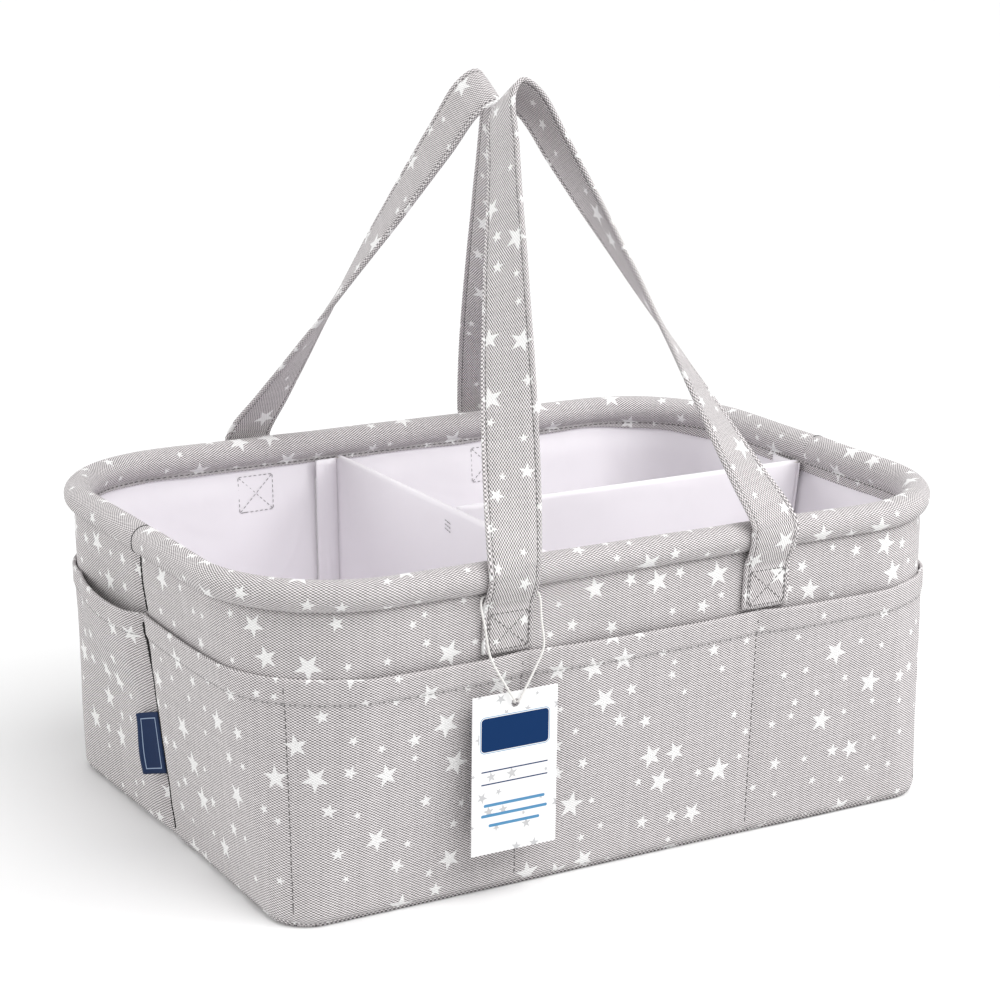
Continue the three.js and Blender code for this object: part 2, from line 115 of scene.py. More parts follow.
class Slot(Enum):
    """Material slots of the record."""

    CANVAS = "canvas"
    LINING = "lining"
    TAPE = "tape"
    LABEL = "label_cloth"
    PAPER = "paper"
    COTTON = "cotton"


def mix(low: float, high: float, share: float) -> float:
    """Return the number that lies share of the way from low to high."""
    return low + (high - low) * share


def levels(low: float, high: float, count: int) -> list[float]:
    """Return count + 1 numbers in even steps from low to high."""
    return [mix(low, high, step / count) for step in range(count + 1)]


def smooth(value: float) -> float:
    """Return value held between 0 and 1 and eased at both ends."""
    held = min(max(value, 0.0), 1.0)
    return held * held * (3.0 - 2.0 * held)


def hump(distance: float, width: float) -> float:
    """Return a soft bump of height 1 at no distance that dies out over width."""
    return math.exp(-((distance / width) ** 2))


def uneven(x: float, y: float, z: float) -> float:
    """Return smooth noise between -1 and 1 at a place, the same in each run."""
    return noise.noise(Vector((x, y, z)))


def line_length(line: Sequence[Vector]) -> float:
    """Return how long a line of points is."""
    return sum((far - near).length for near, far in pairwise(line))


def running(points: Sequence[Pair]) -> list[float]:
    """Return how far along an outline each of its points lies."""
    return [0.0, *accumulate(math.dist(near, far) for near, far in pairwise(points))]


def flowing_line(points: Sequence[Vector], steps: int) -> list[Vector]:
    """Draw a smooth line through points.

    Args:
        points: places that the line passes through.
        steps: points drawn between one place and the next.

    Returns:
        The line's points.
    """
    ends = [2 * points[0] - points[1], *points, 2 * points[-1] - points[-2]]
    line = []
    for span in zip(ends, ends[1:], ends[2:], ends[3:]):
        knots = [0.0]
        for near, far in pairwise(span):
            knots.append(knots[-1] + max((far - near).length, 1e-9) ** 0.5)
        for step in range(steps):
            at, row = mix(knots[1], knots[2], step / steps), span
            for reach in (1, 2):
                row = [
                    near.lerp(far, (at - low) / (high - low))
                    for (near, far), low, high in zip(pairwise(row), knots, knots[reach:])
                ]
            line.append(row[0].lerp(row[1], (at - knots[1]) / (knots[2] - knots[1])))
    line.append(points[-1].copy())
    return line


def spaced(line: Sequence[Vector], pitch: float) -> list[tuple[Vector, Vector]]:
    """Walk along a line in equal steps.

    Args:
        line: points of the line.
        pitch: length of a step, which is fitted to the line's length.

    Returns:
        The middle and the direction of each step.
    """
    reach = [0.0]
    for near, far in pairwise(line):
        reach.append(reach[-1] + (far - near).length)
    count = max(1, round(reach[-1] / pitch))
    marks, index = [], 0
    for step in range(count + 1):
        at = reach[-1] * step / count
        while index < len(line) - 2 and reach[index + 1] < at:
            index += 1
        part = (at - reach[index]) / max(reach[index + 1] - reach[index], 1e-9)
        marks.append(line[index].lerp(line[index + 1], part))
    return [((near + far) / 2, (far - near).normalized()) for near, far in pairwise(marks)]


def add_object(name: str, data: bpy.types.ID) -> Piece:
    """Put data in the scene as an object at the origin."""
    piece = bpy.data.objects.new(name, data)
    bpy.context.scene.collection.objects.link(piece)
    return piece


def mesh_piece(name: str, bm: bmesh.types.BMesh, rounded: bool = True) -> Piece:
    """Put a bmesh in the scene as a piece.

    Args:
        name: the piece's name.
        bm: the shape, which is used up.
        rounded: whether its faces are shaded smooth.

    Returns:
        The new object, at the origin.
    """
    mesh = bpy.data.meshes.new(name)
    for face in bm.faces:
        face.smooth = rounded
    bm.to_mesh(mesh)
    bm.free()
    return add_object(name, mesh)


def cloth_piece(
    name: str, columns: int, rows: int, place: Placing, cut: Cutting, flip: bool = False, tube: bool = False
) -> Piece:
    """Lay a grid of cloth and move its points to the sewn shape.

    Args:
        name: the piece's name.
        columns: cells along the cloth.
        rows: cells across it.
        place: where the point of a column and row goes.
        cut: where that point lies on the flat cloth.
        flip: whether the grid's face has to be turned over.
        tube: whether the first and last row are one seam, so the shape closes and its ends are capped.

    Returns:
        The new piece, with its flat places as UVs.
    """
    bm = bmesh.new()
    layer = bm.loops.layers.uv.new(CLOTH_UV)
    bmesh.ops.create_grid(bm, x_segments=columns, y_segments=rows, size=0.5)
    cells = {
        vert: (round((vert.co.x + 0.5) * columns), round((vert.co.y + 0.5) * rows)) for vert in bm.verts
    }
    for face in bm.faces:
        for loop in face.loops:
            loop[layer].uv = cut(*cells[loop.vert])
    for vert, cell in cells.items():
        vert.co = place(*cell)
    if tube:
        bmesh.ops.remove_doubles(bm, verts=bm.verts, dist=1e-6)
        bmesh.ops.holes_fill(bm, edges=[edge for edge in bm.edges if edge.is_boundary], sides=0)
        bmesh.ops.recalc_face_normals(bm, faces=bm.faces)
    if flip:
        bmesh.ops.reverse_faces(bm, faces=bm.faces)
    return mesh_piece(name, bm)


def settle(
    piece: Piece,
    material: Finish,
    slot: Slot,
    nodes: Sequence[str] = (),
    body: Body = Body.CADDY,
    cloth: float = 0.0,
) -> Piece:
    """Dress a piece and let it ride on its body.

    Args:
        piece: the piece.
        material: its finish.
        slot: the record's slot that the finish belongs to; not used.
        nodes: the model's solids that it stands for.
        body: what it moves with.
        cloth: thickness that a sheet has behind the face that shows.

    Returns:
        The same piece.
    """
    piece.data.materials.append(material)
    if cloth:
        layer = piece.modifiers.new("cloth thickness", "SOLIDIFY")
        layer.thickness, layer.offset = cloth, -1.0
    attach(piece, body.value)
    if nodes:
        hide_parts(*nodes)
    LOG.info("%s rides on %s", piece.name, body.value)
    return piece


@dataclass(frozen=True)
class BasketForm:
    """Tapered plan with round corners that every layer of the wall follows."""

    rim_length: float = 0.371
    rim_depth: float = 0.253
    rim_corner: float = 0.062
    base_length: float = 0.341
    base_depth: float = 0.240
    base_corner: float = 0.018
    least_corner: float = 0.002
    rim_height: float = 0.1446
    end_pull: float = 0.0015
    steady: float = 0.095

    @property
    def end_run(self) -> float:
        """Length of half a short end along the rim."""
        return self.rim_depth / 2 - self.rim_corner

    @property
    def arc_run(self) -> float:
        """Length of a corner along the rim."""
        return math.pi / 2 * self.rim_corner

    @property
    def half_run(self) -> float:
        """Length of half the rim, from the middle of one end to the other."""
        return 2 * (self.end_run + self.arc_run) + self.rim_length - 2 * self.rim_corner

    def run_at(self, x: float) -> float:
        """Return how far along the rim a place on a long wall is."""
        return self.half_run / 2 + x

    def hand(self, run: float) -> float:
        """Return -1 for a place on the left of the middle and 1 for one on the right."""
        return 1.0 if run > self.half_run / 2 else -1.0

    def plan(self, z: float, depth: float) -> Triple:
        """Size the outline at a height.

        Args:
            z: the height.
            depth: how far inside the canvas, or outside it if negative.

        Returns:
            Half length, half depth and corner radius.
        """
        share = z / self.rim_height
        return (
            mix(self.base_length, self.rim_length, share) / 2 - depth,
            mix(self.base_depth, self.rim_depth, share) / 2 - depth,
            max(self.least_corner, mix(self.base_corner, self.rim_corner, share) - depth),
        )

    def pull(self, z: float, share: float) -> float:
        """Return how far an end is drawn in at a height and a share of the way to its corner."""
        low = max(0.0, 1 - z / self.rim_height)
        return self.end_pull * low * (1 + math.cos(math.pi * min(abs(share), 1.0))) / 2

    def point(self, run: float, z: float, depth: float, side: Side) -> Vector:
        """Find a place on a layer of the wall.

        Args:
            run: length along the rim from the middle of the left end.
            z: the height.
            depth: how far inside the canvas, or outside it if negative.
            side: the half of the caddy.

        Returns:
            The place.
        """
        length, deep, corner = self.plan(z, depth)
        along = min(run, self.half_run - run)
        if along <= self.end_run:
            share = along / self.end_run
            x, y = length - self.pull(z, share), (deep - corner) * share
        elif along <= self.end_run + self.arc_run:
            turn = (along - self.end_run) / self.rim_corner
            x, y = length - corner + corner * math.cos(turn), deep - corner + corner * math.sin(turn)
        else:
            x, y = self.half_run / 2 - along, deep
            limit = self.rim_length / 2 - self.rim_corner
            if x > self.steady:
                x = mix(self.steady, length - corner, (x - self.steady) / (limit - self.steady))
        return Vector((x * self.hand(run), y * side.value, z))

    def cloth_run(self, run: float, z: float) -> float:
        """Measure how far cloth reaches along the wall at a height.

        Args:
            run: length along the rim from the middle of the left end.
            z: the height.

        Returns:
            The length from the middle of the long wall, negative to the left.
        """
        length, deep, corner = self.plan(z, 0.0)
        along = min(run, self.half_run - run)
        straight, arc = length - corner, math.pi / 2 * corner
        if along <= self.end_run:
            reach = straight + arc + (deep - corner) * (1 - along / self.end_run)
        elif along <= self.end_run + self.arc_run:
            reach = straight + arc * (1 - (along - self.end_run) / self.arc_run)
        else:
            reach = abs(self.point(run, z, 0.0, Side.FRONT).x)
        return reach * self.hand(run)

    def wall_y(self, z: float, depth: float) -> float:
        """Return how far from the middle a long wall stands at a height and depth."""
        return self.plan(z, depth)[1]

    def end_x(self, z: float, depth: float) -> float:
        """Return how far from the middle the short end stands at a height and depth."""
        return self.plan(z, depth)[0] - self.pull(z, 0.0)

    def outward(self, place: Vector, _share: float = 0.0) -> Vector:
        """Return the level direction away from the caddy at a place on its wall."""
        length, deep, corner = self.plan(place.z, 0.0)
        x = math.copysign(max(abs(place.x) - (length - corner), 0.0), place.x)
        y = math.copysign(max(abs(place.y) - (deep - corner), 0.0), place.y)
        return Vector((x, y, 0.0)).normalized()

    def inward(self, place: Vector, _share: float = 0.0) -> Vector:
        """Return the level direction into the caddy at a place on its wall."""
        return -self.outward(place)


FORM = BasketForm()

# How far over the end seams the front half reaches, and how far from them the halves are stitched.
LAP = 0.0003
EDGE_STITCH = 0.0015
BAND_STITCH = 0.00135
# How deep and how far the front half rolls into them, and the back half slopes, and how steeply.
FRONT_ROLL = (0.0042, 0.0022)
BACK_SLOPE = (0.0052, 0.013, 1.6)
# Where long stitches along the rim stop short of the end seams.
SEW_MARGIN = 0.004


def seam_distance(run: float) -> float:
    """Return how far a place is from the nearer end seam, along the wall."""
    return min(abs(run), abs(FORM.half_run - run))


def even_runs(count: int, start: float, end: float, close: int = 14, near: float = 0.012) -> list[float]:
    """Return places along the rim that stand much closer together near both end seams.

    Args:
        count: cells between the places, an even number.
        start: the first place.
        end: the last place.
        close: cells that stand close together at each end.
        near: how far these reach.

    Returns:
        The places.
    """
    left = [near * (step / close) ** 2.0 for step in range(close)]
    left += levels(near, (end - start) / 2, count // 2 - close)
    return [start + place for place in left] + [end - place for place in reversed(left[:-1])]


def half_runs(count: int, side: Side) -> list[float]:
    """Return places along one half of the wall, the front half reaching a little over the end seams."""
    lap = side.pick(LAP, -LAP)
    return even_runs(count, -lap, FORM.half_run + lap)


def sewn_runs(count: int) -> list[float]:
    """Return places along one half for stitches that follow the rim."""
    return even_runs(count, SEW_MARGIN, FORM.half_run - SEW_MARGIN)


def seam_valley(run: float, side: Side) -> float:
    """Return how deep cloth rolls into the nearer end seam.

    Args:
        run: length along the rim.
        side: the half; the front one ends in a sharp roll and the back one in a slope.

    Returns:
        The depth, steepest at the seam.
    """
    near = min(run, FORM.half_run - run)
    if side is Side.FRONT:
        deep, reach = FRONT_ROLL
        share = max(0.0, 1 - (near + LAP) / reach)
        return deep * (1 - math.sqrt(max(0.0, 1 - share * share)))
    deep, reach, power = BACK_SLOPE
    return deep * max(0.0, 1 - near / reach) ** power


def cloth_relief(run: float, z: float, side: Side, seed: float) -> float:
    """Return the small unevenness of stiff cloth at a place on the wall.

    Args:
        run: length along the rim.
        z: the height.
        side: the half of the caddy.
        seed: a number that tells one layer of cloth from another.

    Returns:
        How far the cloth stands out, positive or negative.
    """
    place = Vector((run * 17, z * 21, seed + 7 * side.value))
    near = seam_distance(run)
    seam = 0.0005 * hump(near, 0.014) * uneven(near * 60, z * 85, seed)
    return 0.00045 * noise.noise(place) + 0.0002 * noise.noise(place * 2.9) + seam


class NodeSheet:
    """A node tree with short calls for the nodes used here."""

    def __init__(self, tree: bpy.types.NodeTree) -> None:
        """Take the tree that nodes are added to."""
        self.tree = tree

    def feed(self, socket: Socket, given: Given) -> None:
        """Link a socket to another one, or set its number or colour."""
        if isinstance(given, Socket):
            self.tree.links.new(given, socket)
        else:
            socket.default_value = given

    def node(self, kind: str, inputs: dict[str, Given] | None = None, **settings: object) -> bpy.types.Node:
        """Add a node.

        Args:
            kind: Blender's name of the node type.
            inputs: what goes into its sockets, by name.
            settings: its options.

        Returns:
            The node.
        """
        made = self.tree.nodes.new(kind)
        for key, value in settings.items():
            setattr(made, key, value)
        for key, given in (inputs or {}).items():
            self.feed(made.inputs[key], given)
        return made

    def value(self, operation: str, *given: Given, kind: str = "ShaderNodeMath") -> Socket:
        """Add a Math node.

        Args:
            operation: what it works out.
            given: numbers or sockets that go in.
            kind: Blender's name of the node type.

        Returns:
            Its result.
        """
        made = self.node(kind, operation=operation)
        for socket, item in zip(made.inputs, given):
            self.feed(socket, item)
        return made.outputs[0]

    def vector(self, operation: str, *given: Given) -> Socket:
        """Add a Vector Math node and return its resulting vector."""
        return self.value(operation, *given, kind="ShaderNodeVectorMath")

    def parts(self, place: Socket) -> tuple[Socket, Socket]:
        """Return the X and Y of a vector socket."""
        made = self.node("ShaderNodeSeparateXYZ", {"Vector": place})
        return made.outputs["X"], made.outputs["Y"]

    def joined(self, x: Given, y: Given) -> Socket:
        """Return the vector socket of an X and a Y."""
        return self.node("ShaderNodeCombineXYZ", {"X": x, "Y": y}).outputs[0]

    def seen(self) -> Socket:
        """Return 1 for what the camera sees and 0 for light that bounces."""
        return self.node("ShaderNodeLightPath").outputs["Is Camera Ray"]

    def noise(self, place: Socket, scale: Given, **inputs: Given) -> Socket:
        """Return soft noise at a place, with the texture's other inputs by name."""
        return self.node("ShaderNodeTexNoise", {"Vector": place, "Scale": scale, **inputs}).outputs["Fac"]

    def step(self, value: Given, low: float, high: float) -> Socket:
        """Return a mask that goes softly from 0 where the value is low to 1 where it is high."""
        inputs = {"Value": value, "From Min": low, "From Max": high}
        return self.node("ShaderNodeMapRange", inputs, interpolation_type="SMOOTHSTEP").outputs["Result"]

    def blend(self, share: Given, first: Given, second: Given) -> Socket:
        """Mix two colours.

        Args:
            share: 0 for the first colour and 1 for the second.
            first: a colour or socket.
            second: a colour or socket.

        Returns:
            The mixed colour.
        """
        made = self.node("ShaderNodeMix", data_type="RGBA")
        for index, given in ((0, share), (6, first), (7, second)):
            self.feed(made.inputs[index], given)
        return made.outputs[2]

    def group(self, tree: bpy.types.NodeTree, **given: Given) -> dict[str, Socket]:
        """Place a node group.

        Args:
            tree: the group.
            given: what goes into its inputs, by name.

        Returns:
            Its outputs by name.
        """
        made = self.node("ShaderNodeGroup", node_tree=tree)
        for key, item in given.items():
            self.feed(made.inputs[key], item)
        return {socket.name: socket for socket in made.outputs}


class EffectGroup(NodeSheet):
    """A shader node group under construction, for a place on the cloth."""

    def __init__(self, name: str, inputs: Sequence[str], outputs: Sequence[str]) -> None:
        """Open a group.

        Args:
            name: the group's name.
            inputs: names of its number inputs.
            outputs: names of its number outputs.
        """
        super().__init__(bpy.data.node_groups.new(name, "ShaderNodeTree"))
        new_socket = self.tree.interface.new_socket
        new_socket("Place", in_out="INPUT", socket_type="NodeSocketVector")
        for keys, way in ((inputs, "INPUT"), (outputs, "OUTPUT")):
            for key in keys:
                new_socket(key, in_out=way, socket_type="NodeSocketFloat")
        self.given = self.node("NodeGroupInput").outputs
        self.out = self.node("NodeGroupOutput").inputs

    def close(self, **results: Socket) -> bpy.types.NodeTree:
        """Feed the group's outputs by name and return the group."""
        for key, result in results.items():
            self.feed(self.out[key], result)
        return self.tree


class Effects:
    """Effects that several finishes share, each built once as a node group."""

    def __init__(self) -> None:
        """Build the groups."""
        self.weave = self.plain_weave()
        self.star = self.star_scatter()
        self.crease = self.soft_crease()

    def plain_weave(self) -> bpy.types.NodeTree:
        """Build threads that cross over and under, with slubs.

        Returns:
            A group that gives a height and a tone for a place on the cloth; the tone drops in the hollows between
            threads as painted shade, and varies at random by thread and slub.
        """
        sheet = EffectGroup("plain_weave", ("Warp", "Weft"), ("Height", "Tone"))
        given, do = sheet.given, sheet.value
        slub = sheet.noise(given["Place"], 330.0, Detail=3.0, Roughness=0.6)
        x, y = (
            do("MULTIPLY_ADD", slub, 0.5, do("DIVIDE", part, given[key]))
            for part, key in zip(sheet.parts(given["Place"]), ("Warp", "Weft"))
        )
        rise = do("COSINE", do("MULTIPLY", do("ADD", x, y), math.pi))
        fall = do("COSINE", do("MULTIPLY", do("SUBTRACT", x, y), math.pi))
        lift = do("MULTIPLY_ADD", fall, 0.22, do("MULTIPLY_ADD", rise, -0.28, 0.5))
        shades = [
            sheet.node("ShaderNodeTexWhiteNoise", {"W": do("FLOOR", thread)}, noise_dimensions="1D")
            for thread in (x, do("ADD", y, 311.0))
        ]
        thread = do("ADD", *(shade.outputs["Value"] for shade in shades))
        # Painted shade: the tone follows the threads' height, so the hollows between them come out dark.
        crown = sheet.step(lift, 0.24, 0.76)
        tone = do("MULTIPLY_ADD", crown, 0.8, do("MULTIPLY", thread, 0.04))
        tone = do("MULTIPLY_ADD", slub, 0.12, tone)
        return sheet.close(Height=do("MULTIPLY_ADD", thread, 0.1, lift), Tone=tone)

    def star_scatter(self) -> bpy.types.NodeTree:
        """Build five-pointed stars of three sizes, one in each cell of a grid at a chance place and tilt.

        Returns:
            A group that gives a mask for a place on the cloth.
        """
        sheet = EffectGroup("star_scatter", ("Cell", "Small", "Medium", "Large", "Share", "Seed"), ("Mask",))
        given, do, move = sheet.given, sheet.value, sheet.vector
        across, up = (do("DIVIDE", part, given["Cell"]) for part in sheet.parts(given["Place"]))
        up = do("ADD", up, given["Seed"])
        across = do("MULTIPLY_ADD", do("FLOOR", up), 0.37, across)
        place = sheet.joined(across, up)
        box = move("FLOOR", place)
        chance, again = (
            sheet.node("ShaderNodeTexWhiteNoise", {"Vector": move("ADD", box, shift)}, noise_dimensions="2D").outputs
            for shift in ((0.5, 0.5, 0.0), (41.3, 17.9, 0.0))
        )
        size = given["Small"]
        for key, before, from_chance in (("Medium", "Small", 0.5), ("Large", "Medium", 0.76)):
            more = do("SUBTRACT", given[key], given[before])
            size = do("MULTIPLY_ADD", do("GREATER_THAN", again["Value"], from_chance), more, size)
        size = do("MULTIPLY", size, do("MULTIPLY_ADD", chance["Value"], 0.24, 0.88))
        size = do("DIVIDE", size, given["Cell"])
        room = do("MULTIPLY_ADD", size, -2.05, 1.0)
        middle = move("SUBTRACT", chance["Color"], (0.5, 0.5, 0.5))
        middle = move("MULTIPLY", middle, sheet.joined(room, room))
        local = move("SUBTRACT", move("SUBTRACT", move("FRACTION", place), (0.5, 0.5, 0.0)), middle)
        chances = sheet.node("ShaderNodeSeparateColor", {"Color": again["Color"]}).outputs
        tilt = do("MULTIPLY", do("SUBTRACT", chances["Green"], 0.5), 1.2)
        turned = sheet.node("ShaderNodeVectorRotate", {"Vector": local, "Angle": tilt}, rotation_type="Z_AXIS")
        x, y = (do("DIVIDE", part, size) for part in sheet.parts(turned.outputs[0]))
        reach = do("SQRT", do("ADD", do("MULTIPLY", x, x), do("MULTIPLY", y, y)))
        angle = do("MULTIPLY", do("ARCTAN2", x, y), 2.5 / math.pi)
        ray = do("ABSOLUTE", do("SUBTRACT", do("FRACT", do("ADD", angle, 0.5)), 0.5))
        ray = do("MULTIPLY", ray, math.pi / 2.5)
        near = do("SUBTRACT", do("MULTIPLY", reach, do("COSINE", ray)), 1.0)
        edge = do("MULTIPLY", do("MULTIPLY", reach, do("SINE", ray)), 0.9446)
        edge = do("MULTIPLY_ADD", near, 0.3283, edge)
        shown = do("LESS_THAN", chances["Blue"], given["Share"])
        return sheet.close(Mask=do("MULTIPLY", sheet.step(edge, 0.04, -0.03), shown))

    def soft_crease(self) -> bpy.types.NodeTree:
        """Build the shallow folds of thin cloth that was handled.

        Returns:
            A group that gives a height and a tone for a place; the tone follows the height's broad swell, so colour
            built on it is painted shade in the folds' hollows.
        """
        sheet = EffectGroup("soft_crease", ("Scale",), ("Height", "Tone"))
        place, scale = sheet.given["Place"], sheet.given["Scale"]
        fold = sheet.noise(place, scale, Detail=2.0, Distortion=1.1)
        ridge = sheet.step(sheet.value("ABSOLUTE", sheet.value("SUBTRACT", fold, 0.5)), 0.11, 0.0)
        swell = sheet.noise(place, sheet.value("MULTIPLY", scale, 0.5))
        return sheet.close(Height=sheet.value("MULTIPLY_ADD", ridge, 0.16, swell), Tone=swell)


class FinishSheet(NodeSheet):
    """A material under construction."""

    def __init__(self, name: str, roughness: float, sheen: float = 0.0, specular: float = 0.25) -> None:
        """Start a material.

        Args:
            name: the material's name.
            roughness: its roughness where nothing is linked.
            sheen: weight of the soft edge light that cloth has.
            specular: how much it mirrors.
        """
        self.material = bpy.data.materials.new(name)
        self.material.use_nodes = True
        super().__init__(self.material.node_tree)
        self.inputs = self.tree.nodes["Principled BSDF"].inputs
        settings = {"Roughness": roughness, "Specular IOR Level": specular, "Sheen Weight": sheen}
        for key, number in settings.items():
            self.inputs[key].default_value = number
        self.inputs["Sheen Roughness"].default_value = 0.5

    def on_cloth(self) -> Socket:
        """Return the place on the flat cloth."""
        return self.node("ShaderNodeUVMap", uv_map=CLOTH_UV).outputs["UV"]

    def on_object(self) -> Socket:
        """Return the place in the object's own frame."""
        return self.node("ShaderNodeTexCoord").outputs["Object"]

    def paint(self, colour: Given, roughness: Given | None = None) -> None:
        """Set the colour, and the roughness where it varies."""
        self.feed(self.inputs["Base Color"], colour)
        if roughness is not None:
            self.feed(self.inputs["Roughness"], roughness)

    def raised(self, height: Given, strength: float, distance: float) -> Finish:
        """Let a height show as relief.

        Args:
            height: the height socket.
            strength: share of the relief that shows.
            distance: how high it is.

        Returns:
            The material.
        """
        bump = self.node("ShaderNodeBump", {"Height": height, "Strength": strength, "Distance": distance})
        self.feed(self.inputs["Normal"], bump.outputs["Normal"])
        return self.material


@dataclass(frozen=True)
class CanvasFinish:
    """Grey plain-weave canvas with a print of scattered white stars."""

    # The hollow colours are painted shade between the threads; mixed with the ground by the weave's tone they also
    # make the canvas's own grey and the stars' white.
    hollow_shade: Colour = (0.05, 0.046, 0.048, 1.0)
    ground: Colour = (0.97, 0.925, 0.93, 1.0)
    star_hollow_shade: Colour = (0.72, 0.715, 0.71, 1.0)
    star: Colour = (0.99, 0.985, 0.98, 1.0)
    warp: float = 0.001
    weft: float = 0.00059
    cell: float = 0.0158
    stars: Triple = (0.0021, 0.0034, 0.0059)
    share: float = 0.86
    seed: float = 3.2

    def material(self, effects: Effects) -> Finish:
        """Build the finish with the shared node groups and return its material."""
        sheet = FinishSheet("grey star canvas", 0.95, sheen=0.1)
        place = sheet.on_cloth()
        weave = sheet.group(effects.weave, Place=place, Warp=self.warp, Weft=self.weft)
        sizes = dict(zip(("Small", "Medium", "Large"), self.stars))
        stars = sheet.group(effects.star, Place=place, Cell=self.cell, Share=self.share, Seed=self.seed, **sizes)
        # Canvas and ink darken where the weave sinks: painted shade in the hollows between threads.
        cloth = sheet.blend(weave["Tone"], self.hollow_shade, self.ground)
        ink = sheet.blend(weave["Tone"], self.star_hollow_shade, self.star)
        roughness = sheet.value("MULTIPLY_ADD", weave["Tone"], -0.12, 0.98)
        sheet.paint(sheet.blend(stars["Mask"], cloth, ink), roughness)
        return sheet.raised(weave["Height"], 0.5, 0.0003)


@dataclass(frozen=True)
class LiningFinish:
    """Smooth white polyester with a fine weave and soft creases, with painted shade in the creases' hollows."""

    fold: Colour = (0.83, 0.8, 0.84, 1.0)
    ground: Colour = (0.98, 0.95, 0.985, 1.0)
    scale: float = 14.0
    pitch: float = 0.0005

    def material(self, effects: Effects) -> Finish:
        """Build the finish with the shared node groups and return its material."""
        sheet = FinishSheet("white lining", 0.6, sheen=0.1)
        crease = sheet.group(effects.crease, Place=sheet.on_object(), Scale=self.scale)
        weave = sheet.group(effects.weave, Place=sheet.on_cloth(), Warp=self.pitch, Weft=self.pitch)
        roughness = sheet.value("MULTIPLY_ADD", weave["Tone"], 0.15, 0.5)
        # Painted shade: the lining darkens to the fold colour where the creases sink.
        sheet.paint(sheet.blend(crease["Tone"], self.fold, self.ground), roughness)
        height = sheet.value("MULTIPLY_ADD", weave["Height"], 0.012, crease["Height"])
        return sheet.raised(height, 0.5, 0.0022)


@dataclass(frozen=True)
class SpeckledFinish:
    """A plain finish with the fine grain of thread, foam, board or tape."""

    name: str
    low: Triple
    high: Triple
    scale: float
    roughness: float = 0.85
    relief: float = 0.0002

    def material(self) -> Finish:
        """Return the material, on object coordinates."""
        sheet = FinishSheet(self.name, self.roughness)
        grain = sheet.noise(sheet.on_object(), self.scale, Detail=4.0, Roughness=0.65)
        roughness = sheet.value("MULTIPLY_ADD", grain, 0.2, self.roughness - 0.1)
        sheet.paint(sheet.blend(grain, (*self.low, 1.0), (*self.high, 1.0)), roughness)
        return sheet.raised(grain, 0.6, self.relief)


@dataclass(frozen=True)
class LabelFinish:
    """Navy woven tape with a thin pale border."""

    low: Colour = (0.002, 0.011, 0.045, 1.0)
    high: Colour = (0.006, 0.031, 0.108, 1.0)
    border: Colour = (0.34, 0.44, 0.6, 1.0)
    sizes: Pair = (0.015, 0.030)
    inset: float = 0.0027

    def material(self, effects: Effects) -> Finish:
        """Build the finish with the shared node groups and return its material."""
        sheet = FinishSheet("navy woven label", 0.7, sheen=0.04)
        place, do = sheet.on_cloth(), sheet.value
        weave = sheet.group(effects.weave, Place=place, Warp=0.0005, Weft=0.00035)
        edges = [
            do("SUBTRACT", size / 2, do("ABSOLUTE", do("SUBTRACT", part, size / 2)))
            for part, size in zip(sheet.parts(place), self.sizes)
        ]
        line = do("ABSOLUTE", do("SUBTRACT", do("MINIMUM", *edges), self.inset))
        # The weave's tone darkens the navy in the hollows between threads: painted shade, with random thread tone.
        ground = sheet.blend(weave["Tone"], self.low, self.high)
        sheet.paint(sheet.blend(sheet.step(line, 0.00028, 0.00014), ground, self.border))
        return sheet.raised(weave["Height"], 0.5, 0.00012)


